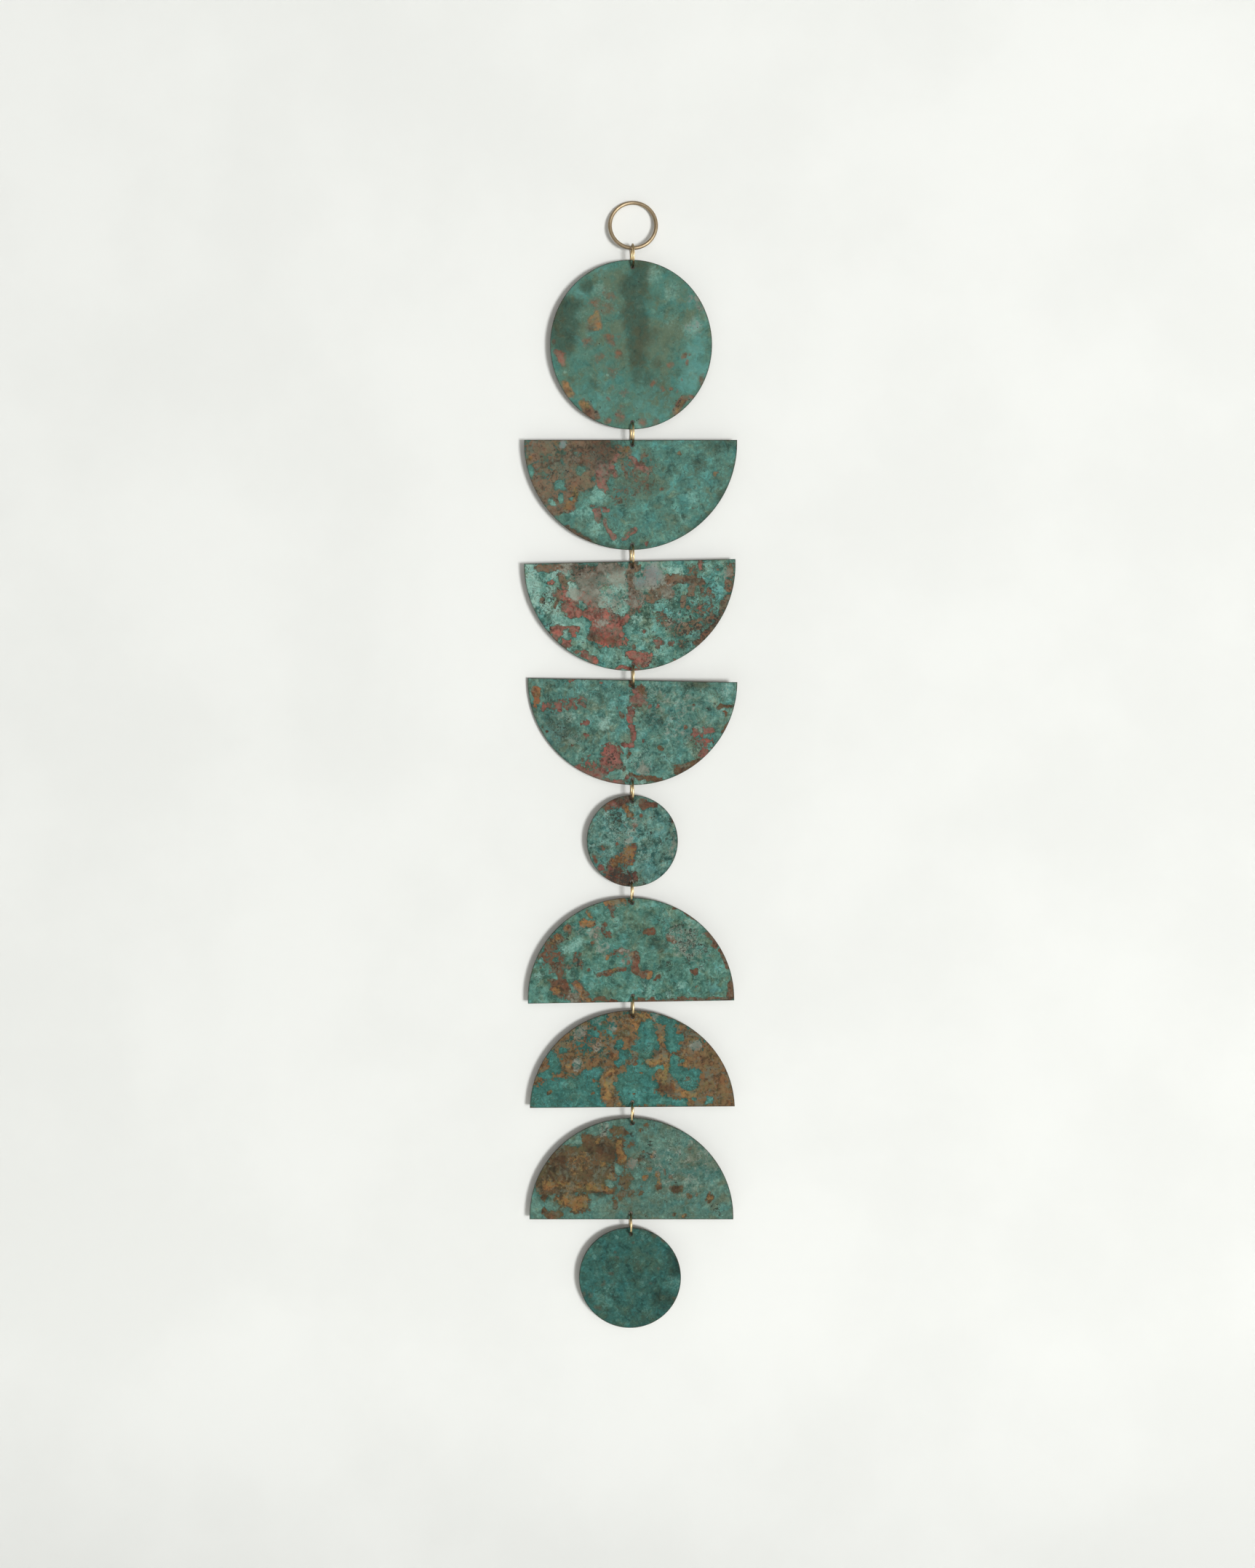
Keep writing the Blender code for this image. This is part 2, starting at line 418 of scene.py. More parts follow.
def make_plate(name, net_for, steps, seed, tones, **dabs):
    """One plate: a net of so many steps on its front and back, a bevel and a rim round the
    outline and round each hole, and on every point how strongly the dabs of each finish lie
    there. The tones are those of its own verdigris."""
    origin, across, up, toward, half, holes = plate_in(name)
    net, stays, circles = pierce(net_for(half, steps), holes)
    rows, columns = net.shape[:2]
    count = rows * columns
    flat = net.reshape(-1, 2)
    number = np.arange(count).reshape(rows, columns)
    cells = np.stack((number[:-1, :-1], number[:-1, 1:], number[1:, 1:], number[1:, :-1]), -1)
    cells = cells[stays]
    outline = np.concatenate(
        (number[0, :-1], number[:-1, -1], number[-1, :0:-1], number[:0:-1, 0])
    )
    if turning(flat[cells[:, 1]] - flat[cells[:, 0]], flat[cells[:, 2]] - flat[cells[:, 1]]) < 0:
        cells = cells[:, ::-1]
        outline = outline[::-1]
    loops = [outline]
    for circle in circles:
        circle = np.array(circle)
        spot = flat[circle].mean(0)
        way = turning(flat[circle] - spot, flat[np.roll(circle, -1)] - spot)
        loops.append(circle[::-1] if way > 0 else circle)

    inset = flat.copy()
    rims = []
    for loop in loops:
        edge = flat[loop]
        run = np.roll(edge, -1, 0) - np.roll(edge, 1, 0)
        run /= np.linalg.norm(run, axis=1)[:, None]
        inset[loop] -= INSET * np.stack((run[:, 1], -run[:, 0]), 1)
        rims.append(edge)

    x, z = flat[:, 0] * IN_MM, flat[:, 1] * IN_MM
    broad = np.stack([cloud(x, z, BROAD_CLOUD, seed + k) for k in (1, 2)]) - 0.5
    fine = np.stack([cloud(x, z, FINE_CLOUD, seed + k) for k in (3, 4)]) - 0.5
    pushed = np.stack((x, z)) + (2 * BROAD_PUSH * broad + 2 * FINE_PUSH * fine)
    lay = {key: dabbed(*pushed, dabs.get(key, ())) for key in FINISHES + ("islands", "rust")}
    islands, rust = lay.pop("islands"), lay.pop("rust")
    for key in ("brown", "ochre", "copper"):
        lay[key] = np.clip(lay[key] - islands, 0, 1)
    lay["brown"] = np.maximum(lay["brown"], rust)
    lay["lifted"] = islands
    gap = np.empty(count)
    edge = flat[outline] * IN_MM
    for start in range(0, count, POINTS_AT_ONCE):
        part = slice(start, start + POINTS_AT_ONCE)
        off_x, off_z = x[part, None] - edge[None, :, 0], z[part, None] - edge[None, :, 1]
        gap[part] = np.hypot(off_x, off_z).min(1)
    lay["edge"] = np.clip(1 - gap / WORN_BAND, 0, 1)
    lay["front"] = np.ones(count)

    thick = np.ptp((corners_of(name) - origin) @ toward) / 2
    planes = [(inset, thick), (inset, -thick)]
    for edge in rims:
        planes += [(edge, thick - BEVEL), (edge, BEVEL - thick)]
    points = np.concatenate(
        [origin + q[:, :1] * across + q[:, 1:] * up + depth * toward for q, depth in planes]
    )
    faces = [cells, cells[:, ::-1] + count]
    base = 2 * count
    for loop, edge in zip(loops, rims):
        size = len(loop)
        near = base + np.arange(size)
        far = near + size
        chain = (loop, near, far, loop + count)
        for one, two in zip(chain, chain[1:]):
            faces.append(np.stack((one, two, np.roll(two, -1), np.roll(one, -1)), 1))
        base += 2 * size
    # The front mark is 1 on the front, 0 on the back and a half on the rims between them.
    body = {key: [values, values.copy()] for key, values in lay.items()}
    body["front"][1][:] = 0
    for loop in loops:
        for key in lay:
            body[key] += [lay[key][loop], lay[key][loop]]
    lay = {key: np.concatenate(values) for key, values in body.items()}
    rim = 2 * count + 2 * len(outline)
    lay["edge"][2 * count : rim] = RIM_WORN
    # Painted shade: the hole rims are darkened so that the holes look dark.
    lay["edge"][rim:] = HOLE_SHADE
    lay["front"][2 * count :] = 0.5
    used, faces = np.unique(np.concatenate(faces), return_inverse=True)
    lay = {key: values[used] for key, values in lay.items()}
    faces = faces.reshape(-1, 4).tolist()
    material = patina(name + "_patina", tones)
    piece = add_piece(name + "_sheet", points[used], faces, material, lay)
    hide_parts(name)


# Verdigris: a mottled green crust with every other finish laid over it, where it lies.
FINISH_INPUTS = FINISHES + ("lifted", "edge", "front")
verdigris, given, result = new_group(
    "verdigris",
    FINISH_INPUTS + ("Softness", "Contrast", "Cover", "Line", "Dust"),
    ("Deep", "Body", "Light", "Brown", "Ochre", "Copper"),
    ("Roughness", "Metallic", "Height"),
)
place = add_node(verdigris, "TexCoord").outputs["Object"]


def three_noises(size, detail, rough, distortion):
    """Three separate noises of one size, in metres, as sockets."""
    feeds = {"Vector": place, "Scale": 1 / size, "Detail": detail, "Roughness": rough}
    feeds["Distortion"] = distortion
    noise = add_node(verdigris, "TexNoise", feeds)
    return add_node(verdigris, "SeparateColor", {0: noise.outputs["Color"]}).outputs


broad = three_noises(0.0075, 3.0, 0.55, 0.5)
flaky = three_noises(0.0030, 3.0, 0.6, 0.8)
grain = three_noises(0.0011, 1.5, 0.55, 0.5)
metal_spots = three_noises(0.0023, 3.0, 0.6, 0.6)


def add(a, b):
    """The socket of a plus b in the verdigris."""
    return work_out(verdigris, "ADD", a, b)


def less(a, b):
    """The socket of a less b in the verdigris."""
    return work_out(verdigris, "SUBTRACT", a, b)


def times(a, b):
    """The socket of a times b in the verdigris."""
    return work_out(verdigris, "MULTIPLY", a, b)


def greater(a, b):
    """The socket of the greater of a and b in the verdigris."""
    return work_out(verdigris, "MAXIMUM", a, b)


def step(value, low, high, least=0.0, most=1.0):
    """The socket of a smooth step in the verdigris."""
    return ease(verdigris, value, low, high, least, most)


def about(noise, amount):
    """The noise less its middle, times an amount."""
    return times(less(noise, 0.5), amount)


def ragged_edge(field, noise, fine):
    """Where a finish shows: its strength and two noises, past a half. Returns that and the sum."""
    near = step(field, 0.0, 0.25, 0.5, 1.0)
    crisp = less(1.0, given["Softness"])
    ragged = add(about(noise, 2.3), times(about(fine, 1.6), crisp))
    total = add(field, times(times(ragged, near), crisp))
    low, high = less(0.5, given["Softness"]), add(0.5, given["Softness"])
    return step(total, low, high), total


def share(field, noise, amount, low, high, most):
    """How much of a soft finish shows: its strength and a noise, eased from low to high."""
    return step(add(field, about(noise, amount)), low, high, 0.0, most)


def over(under, amount, colour, how="MIX"):
    """The surface so far, with a colour laid on it by an amount."""
    return blend(verdigris, amount, under, colour, how)


def by_contrast(amount):
    """An amount times the plate's own contrast."""
    return times(given["Contrast"], amount)


# The crust: mottled, with bluer, browner and paler parts, pale dots and dark veins.
tone = add(add(about(broad[0], 1.5), about(flaky[0], 2.1)), about(grain[0], 0.9))
tone = times(tone, given["Contrast"])
crust = over(given["Body"], step(tone, 0.0, 0.4), given["Light"])
crust = over(crust, step(tone, 0.0, -0.4), given["Deep"])
hue = add(about(broad[1], 2.4), about(flaky[1], 1.4))
crust = over(crust, step(hue, 0.0, 0.5), (0.8, 1.03, 1.12, 1.0), "MULTIPLY")
crust = over(crust, step(hue, 0.0, -0.5), (1.3, 0.88, 0.76, 1.0), "MULTIPLY")
bluer = over(given["Light"], 1.0, (0.84, 1.0, 1.12, 1.0), "MULTIPLY")
crust = over(crust, share(given["blue"], flaky[1], 1.6, 0.1, 1.1, 0.65), bluer)
browner = over(given["Body"], 1.0, (1.35, 0.84, 0.72, 1.0), "MULTIPLY")
crust = over(crust, share(given["olive"], flaky[2], 2.2, 0.1, 1.0, 0.85), browner)
paler = over(given["Light"], 1.0, (1.6, 1.3, 1.32, 1.0), "MULTIPLY")
speckled = add(given["pale"], times(about(grain[1], 2.6), given["Contrast"]))
crust = over(crust, step(speckled, 0.15, 0.95, 0.0, 0.85), paler)
crust = over(crust, share(given["lifted"], flaky[0], 1.0, 0.3, 1.2, 0.3), given["Light"])
pale_dots = step(add(grain[2], times(given["pale"], 0.04)), 0.63, 0.73)
crust = over(crust, times(pale_dots, by_contrast(0.35)), paler)
mottle = add(about(grain[2], 0.9), about(flaky[2], 1.5))
mottle = add(1.0, times(mottle, given["Contrast"]))
crust = over(crust, 1.0, mottle, "MULTIPLY")
vein = add(about(flaky[1], 1.0), about(grain[0], 0.2))
vein = work_out(verdigris, "ABSOLUTE", vein)
vein = less(vein, times(given["specks"], 0.03))
vein = times(step(vein, 0.03, 0.0), step(broad[2], 0.4, 0.56))
crust = over(crust, times(vein, by_contrast(0.8)), paint(54, 52, 40))

# Bare metal in its three tones with a thin dark line round it, sooty, reddish and dusty in turn.
brown_shows, brown_total = ragged_edge(given["brown"], flaky[0], grain[0])
copper_shows, copper_total = ragged_edge(given["copper"], flaky[1], grain[1])
ochre_shows, ochre_total = ragged_edge(given["ochre"], flaky[2], grain[2])
bare_total = greater(brown_total, greater(copper_total, ochre_total))
rim_line = times(step(bare_total, 0.26, 0.45), given["Line"])
crust = over(crust, rim_line, paint(46, 52, 42))
bare = greater(brown_shows, greater(copper_shows, ochre_shows))
heart = add(copper_total, about(metal_spots[1], 1.3))
heart = times(copper_shows, step(heart, 0.4, 1.0, 0.35, 1.0))
metal = over(given["Brown"], heart, given["Copper"])
metal = over(metal, ochre_shows, given["Ochre"])
dusk = add(about(broad[0], 1.6), add(about(metal_spots[0], 2.4), about(grain[1], 1.0)))
dusk = times(dusk, given["Dust"])
metal = over(metal, step(dusk, -0.1, 0.4, 0, 0.9), (0.38, 0.36, 0.32, 1.0), "MULTIPLY")
metal = over(metal, step(dusk, -0.1, -0.6, 0, 0.9), (1.25, 1.35, 1.35, 1.0), "MULTIPLY")
rust_hue = add(about(broad[1], 1.6), add(about(metal_spots[1], 2.2), about(grain[2], 0.8)))
metal = over(metal, step(rust_hue, 0.0, 0.45), (1.14, 0.9, 0.84, 1.0), "MULTIPLY")
metal = over(metal, step(rust_hue, 0.0, -0.45), (0.82, 1.08, 1.05, 1.0), "MULTIPLY")
dust = add(about(broad[2], 2.0), add(about(metal_spots[2], 2.0), about(grain[2], 1.0)))
dust = times(step(dust, -0.1, 0.6, 0.0, 0.75), given["Dust"])
metal = over(metal, dust, over(crust, 0.5, paint(118, 116, 98)))
surface = over(crust, times(bare, given["Cover"]), metal)

# The milky film, and the dark stains.
film = add(given["grey"], about(grain[0], 1.4))
film = share(film, flaky[0], 2.4, 0.15, 0.95, 0.85)
film = times(film, step(given["grey"], 0.0, 0.15))
grey = over(paint(118, 120, 108), step(rust_hue, 0.0, 0.4, 0, 0.6), paint(122, 106, 92))
grey = over(grey, step(tone, 0.0, 0.5, 0, 0.7), paint(150, 156, 144))
grey = over(grey, times(given["pale"], 0.65), paint(156, 162, 148))
grey = over(grey, times(given["blue"], 0.8), paint(126, 131, 131))
surface = over(surface, film, grey)
stain = times(add(about(grain[1], 1.0), about(flaky[2], 1.8)), given["Contrast"])
stain = step(add(given["smoke"], stain), 0.0, 0.95)
surface = over(surface, stain, (0.64, 0.54, 0.51, 1.0), "MULTIPLY")

# Dark dots, rusty dots, and the worn edge, whose colour on the hole rims is painted shade.
dots = add(times(given["specks"], 0.8), add(about(grain[1], 2.8), about(flaky[0], 1.6)))
dots = step(dots, less(0.72, by_contrast(0.12)), 0.86)
surface = over(surface, times(dots, 0.85), paint(46, 46, 40))
rust_dots = add(grain[0], times(about(flaky[2], 1.0), 0.5))
rust_dots = step(rust_dots, 0.66, 0.74)
rust_dots = times(rust_dots, step(given["Contrast"], 0.6, 1.1))
surface = over(surface, times(rust_dots, 0.6), paint(88, 68, 50))
wear_and_hole_shade = add(given["edge"], about(grain[2], 0.9))
wear_and_hole_shade = step(wear_and_hole_shade, 0.6, 1.1)
surface = over(surface, times(wear_and_hole_shade, 0.8), paint(58, 50, 40))

# The back, which is brown brass in a thin green haze.
haze = step(add(about(broad[1], 2.0), about(flaky[1], 1.2)), -0.2, 0.5)
back = over(paint(118, 96, 64), step(dusk, -0.3, 0.3), paint(84, 66, 46))
back = over(back, times(haze, 0.65), paint(84, 108, 94))
at_front = step(given["front"], 0.3, 0.45)
surface = over(back, at_front, surface)
verdigris.links.new(surface, result["Colour"])

# Bare metal is smoother and a little more metallic than the crust, and lies lower.
shine = times(bare, at_front)
back_shine = times(less(1.0, at_front), 0.8)
shine = greater(shine, back_shine)
rough = add(times(shine, -0.28), add(0.9, about(grain[0], 0.3)))
verdigris.links.new(rough, result["Roughness"])
verdigris.links.new(times(shine, 0.2), result["Metallic"])
height = add(about(flaky[0], 0.8), about(grain[0], 0.5))
height = times(height, less(1.0, times(shine, 0.6)))
height = add(height, times(bare, -0.6))
verdigris.links.new(height, result["Height"])


def patina(name, tones):
    """The verdigris material of one plate, with that plate's own tones. A tone of three is a
    colour as it looks."""
    feeds = {key: paint(*tone) if isinstance(tone, tuple) else tone for key, tone in tones.items()}
    material, shader, coat = coated(name, verdigris, feeds, FINISH_INPUTS, bump=0.5, depth=0.00012)
    material.node_tree.links.new(coat["Metallic"], shader["Metallic"])
    shader["Specular IOR Level"].default_value = 0.25
    return material


make_plate(
    "large_disc", disc_net, steps=128, seed=100,
    tones=dict(Deep=(54, 82, 72), Body=(80, 118, 104), Light=(104, 150, 136), Brown=(124, 88, 66),
        Ochre=(150, 114, 70), Copper=(142, 98, 82), Softness=0.42, Contrast=0.34, Cover=0.85, Line=0.1,
        Dust=0.6),
    smoke=[(24, -28, 2.2, 1.1), (-20, -30.5, 2, 0.7), (-29.5, -21.5, 1.6, 0.6), (-17.5, 9.5, 3.5, 0.3),
        (4.2, 35, 3, 22, 5, 1.1), (1, 26, 1.5, 10, 5.5, 1.05), (3.5, 12, 3, 2, 5.5, 1.0),
        (3.5, 0, 3.5, -8, 3.8, 0.9), (3.5, -9, 3, -15, 3.2, 0.7), (12, -9, 3.5, 0.5), (7, -15, 4, 0.6),
        (-32, 17, -31, 3, 6.5, 1.05), (-27, 10, 4, 0.7), (-20.5, 27, 3, 0.8), (-27, 19, 4, 0.8),
        (-18, -18.7, 2.5, 0.6), (-28, -16, 2, 0.5), (12, 22, 3, 0.4), (10, 5, 4, 0.5),
        (14, -22, 7, 0.35), (30, -33, 4, 0.5), (33, -20, 3, 0.4)],
    olive=[(11, 1, 10, 0.9), (19, 6, 7, 0.9), (26.5, 11.6, 3.8, 0.9), (-4, -4, 7, 0.8),
        (-14, 19, 6, 0.7), (-8, 30, 6, 0.8), (24, 22, 4, 0.7), (-7, 8, 5, 0.8), (-15, -8, 6, 0.5),
        (14, -8, 6, 0.8), (-20, 8, 5, 0.5), (16, -13, 5, 0.6), (-5, 18, 5, 0.6), (-20, 18, 5, 0.5)],
    pale=[(19, 24, 5, 0.5), (10, 33, 4, 0.5), (-14.5, 25, 4, 0.45), (-24, 14.5, 2.5, 0.4),
        (-23.5, 2, 2, 0.3), (-4, -25.5, 4, 0.3), (29, 7.5, 5, 0.5), (19, 12, 5, 0.3),
        (-31, -12.5, 1, 0.6), (-11.8, -13.6, 0.5, 0.7), (-8.2, -13.4, 0.6, 0.7), (3, -38, 3, 0.5),
        (-15, 20, 6, 0.3)],
    blue=[(29, 7, 5, 0.7), (30, -3, 5, 0.9), (31, -12, 7, 0.9), (27, -18, 5, 0.8), (-13, 37.5, 3, 0.8),
        (-28, 28, 4, 0.7), (-24, 23, 3, 0.6), (28, 20, 5, 0.4), (12, -28, 12, 0.45),
        (-12, -24, 8, 0.45), (-24, -23, 4, 0.4), (-14, 34, 3, 0.5), (33, 3, 4, 0.6), (-25, 3, 3, 0.4),
        (-13, -31, 4, 0.45)],
    ochre=[(-16.9, 14.2, -16.3, 7.2, 1.7, 0.86), (-19.8, 12.3, -18, 11.5, 1.3, 0.75),
        (-31, -18.8, -28.5, -23, 1.9, 1.05), (24.5, -27.5, 22.6, -31, 1.0, 0.7),
        (-24, -27.4, -20.5, -28.5, 1.5)],
    copper=[(-34.6, -3.5, -33, -8, 2.0, 1.05), (-6, -34.3, 2.8, 0.66), (-4.3, -30.3, 1.5, 0.5),
        (-12, -35.8, 1.5, 0.66), (5, -36, 2.4, 0.62), (28, -24.3, 1.3, 0.8), (-3, -22, 2.2, 0.45),
        (-11, -25, 1.3, 0.45), (34, -16, 1.8, 0.75), (-9, -20, 1.4, 0.45), (-36, 2, 1.2, 0.5),
        (13, -36, 2, 0.45)],
    brown=[(-11.2, 3.2, -9.5, 1.2, 1.9, 0.75), (-6.8, -4, 2.0, 0.85), (-20, 1, 2.6, 0.55),
        (-18, 19, 2.5, 0.55), (24.8, -5.5, 1.5, 0.85), (26.5, -8.5, 1.2, 0.6), (18.5, -9.5, 1.8, 0.75),
        (10.5, -17.6, 1.7, 0.8), (15, -20.6, 1.1, 0.65), (18.5, -20, 0.9, 0.9), (24.9, -16.3, 1.1, 0.7),
        (33.8, -17.5, 1.5, 0.7), (22, -21.3, 1.1, 0.7), (25.2, -26, 21.8, -31.8, 1.8, 1.15),
        (-22, -28.5, -17, -32.5, 2.4, 1.2), (-6.5, 3.6, 1.2, 0.5), (-10, 24, 3, 0.5), (-12, 17, 3, 0.5),
        (-15.5, -6, 2, 0.5), (14.5, -20, 1.2, 0.7), (28, -4.5, 1, 0.6), (-18.5, 9, 3, 0.58),
        (-9, -13, 3, 0.4)],
    specks=[(0, -34, 5, 0.25), (24, -27, 2.5, 0.8), (-15.8, -30.8, 1, 0.9), (-19, -25.5, 0.8, 0.7),
        (21, -30, 1.5, 0.7)],
    grey=[(30, 8, 4, 0.3), (33, 20, 5, 0.4)],
)

# ---------------------------------------------------------------- upper bowl
# The first half disc, hung by the middle of its flat edge: a four-inch brass blank sawn across a
# little below its centre. The fumes took on the right only, and the left stayed bare brown.

HALF_BLANK = 0.0508


def bowl_net(half, cells):
    """A net bent into a half disc whose flat edge is up.

    With u from -1 to 1 and v from 0 on the flat edge to 1 on the arc, x = R u
    sqrt(1 - v v / 2) and z = past (1 - v) - R v sqrt(1 - u u / 2) from the blank's centre. past
    is how far the flat edge is beyond that centre. The sides are then drawn out onto R."""
    radius = HALF_BLANK
    past = 2 * half[1] - radius
    down, across = np.linspace(0, 1, cells // 2 + 1), np.linspace(-1, 1, cells + 1)
    v, u = np.meshgrid(down, across, indexing="ij")
    x = radius * u * np.sqrt(1 - v * v / 2)
    z = past * (1 - v) - radius * v * np.sqrt(1 - u * u / 2)
    side_x = radius * np.sqrt(1 - v * v / 2)
    side = np.hypot(side_x, past * (1 - v) - radius * v * math.sqrt(0.5))
    draw = 1 + (radius / side - 1) * abs(u)
    x, z = x * draw, z * draw
    return np.stack((x, z - past + half[1]), -1)


make_plate(
    "upper_bowl", bowl_net, steps=170, seed=200,
    tones=dict(Deep=(54, 86, 78), Body=(80, 119, 107), Light=(98, 149, 136), Brown=(112, 90, 70),
        Ochre=(122, 94, 58), Copper=(132, 92, 82), Softness=0.2, Contrast=0.62, Cover=0.92, Line=0.35,
        Dust=0.95),
    brown=[(6, 14, 6, 0.55), (-4, 0, 6, 0.4), (-46, 22, -22, 24, 5.5), (-46, 14, -24, 16, 6),
        (-43, 6, -24, 8, 6), (-42, 0, -30, 0, 4.5), (-38, -6, -30, -6, 3.2), (-15, 22, 6.5),
        (-17.5, 13, 4.5), (-10, 20, 5.5), (-4, 20, 4, 0.8), (-20, 5, 3, 0.7), (-14, 8, 4, 0.7),
        (0, 12, 6, 0.5), (4, 6, 7, 0.45), (14, 3.5, 1.1, 0.9), (-33, -10, 1.6, 0.7),
        (-31, -15, -21, -21.8, 1.5, 0.78), (23, 20.5, 1.2, 0.9)],
    ochre=[(-2, 22, 2.2, 0.9), (-47.5, 17, 1.8, 0.8), (-41.5, 16, 1.4, 0.7), (-36.5, 24.5, 1.5, 0.8),
        (-36.5, 8.2, 1.8, 0.7), (-28, 3.5, 2.3, 0.9), (-28, -0.5, -31, -5, 2.3, 0.9),
        (-26, 24, 1.5, 0.6), (-33.5, 16.5, 1.5, 0.6), (23, 20.3, 1, 0.9), (41.5, 9.8, 1.3, 0.9)],
    copper=[(-10, 17, 4, 0.6), (-40, 12, 6, 0.45), (-14.5, 16, -13, 4, 2.6),
        (-11, 15, -8, 11, 3.0, 0.95), (-7, 17.5, 2, 0.8), (-0.5, 17, 3, 13.3, 1.2),
        (3, 13.2, 8, 12, 1.5), (-16.7, -8, -16, -12, 1.8), (-11.5, -7.3, 1.4),
        (-12.5, -13, -8, -19.5, 1.2, 0.9), (-3, -20, 2.5, -17, 1.2, 0.9), (8.5, -23, 1.3, 0.8),
        (2.5, 8, 1, 0.55), (-39, -9, 1.5, 0.6), (-44, 12, -42, 4, 2.5, 0.55), (29, -6.5, 1.1, 0.5),
        (-19, -4.5, -12, -5.5, 0.8, 0.5)],
    smoke=[(49, 24.5, 36, 24.5, 3.5, 0.6), (49.5, 14, 48.5, 3, 2, 0.6),
        (-31, -15.5, -17, -23, 1.8, 0.75), (46.5, 3, 40, -8, 1.8, 0.8), (40, -8, 28, -18, 2.2, 0.8),
        (33, 14, 4, 0.6), (41, 25, 4, 0.7), (-5, -24.8, 15, -23, 1.2, 0.6),
        (-20, -21.5, -8, -24.5, 1.5, 0.7), (9, 5, 4, 0.4), (25, 6, 4, 0.35), (18, -2.5, 1.5, 0.5),
        (-14, -11.2, 1, 0.9), (-17.5, 15, 4, 0.6), (-14, 22, 7, 1.0), (-24, 18, 6, 0.6),
        (-5, 23, 4, 0.5), (-34, 19, 3, 0.4)],
    islands=[(-36, 13, 13, 0.35), (-14, 21, 6, 0.3), (-33.5, 5, 2.8), (-34, 0, -34, -2, 1.3),
        (-48, 11.5, 1.8), (-23, 11.5, 2.1), (-29, -1.3, 1), (-32.2, -10.8, 1.8), (-38.5, -3, 2.2, 0.7),
        (-26, 18.5, 1.8, 0.35), (-6, 13, 2, 0.8), (-32.5, 23.5, 2.1)],
    pale=[(-16, -0.5, 4.2, 0.7), (-21, -8, 4.5, 0.65), (-17, -16, 3.5, 0.75), (-38, -4, 2.2, 0.9),
        (-26, -8, 3, 0.6), (-26, 18.5, 1.6, 0.7), (-18.5, 20, 1.2, 0.6), (29.5, -1, 3.5, 0.5),
        (31.5, 4, 2, 0.4), (-7, -21.5, 2, 0.5), (26, -12, 3, 0.4)],
    blue=[(-32.5, 23.5, 2), (34, 6, 12, 0.4), (22, 2, 6, 0.4), (2, 18.5, 3, 0.6), (22, 24.5, 3, 0.5),
        (-8, -11, 4, 0.5), (29, -1, 3.5, 0.7), (22.5, -7, 1.6, 0.8), (25, 7, 5, 0.35),
        (-33.5, 5, 2.5, 0.5)],
    grey=[(-32.5, 23.5, 2.2, 1.2), (-26, 18, 2.5, 0.5)],
    olive=[(5, 5, 8, 0.7), (-4, 8, 5, 0.7), (15, 5, 5, 0.6), (-10, 0, 5, 0.4), (20, -11, 4, 0.4),
        (-25, -16, 4, 0.5), (0, 0, 6, 0.4)],
    specks=[(-35, 12, 12, 0.25), (-12, 22, 8, 0.2)],
)

# ---------------------------------------------------------------- middle bowl
# The second half disc, cut and hung like the first. Its crust has flaked off in islands that lie
# redder than bare brass, over a milky grey film in the upper middle.

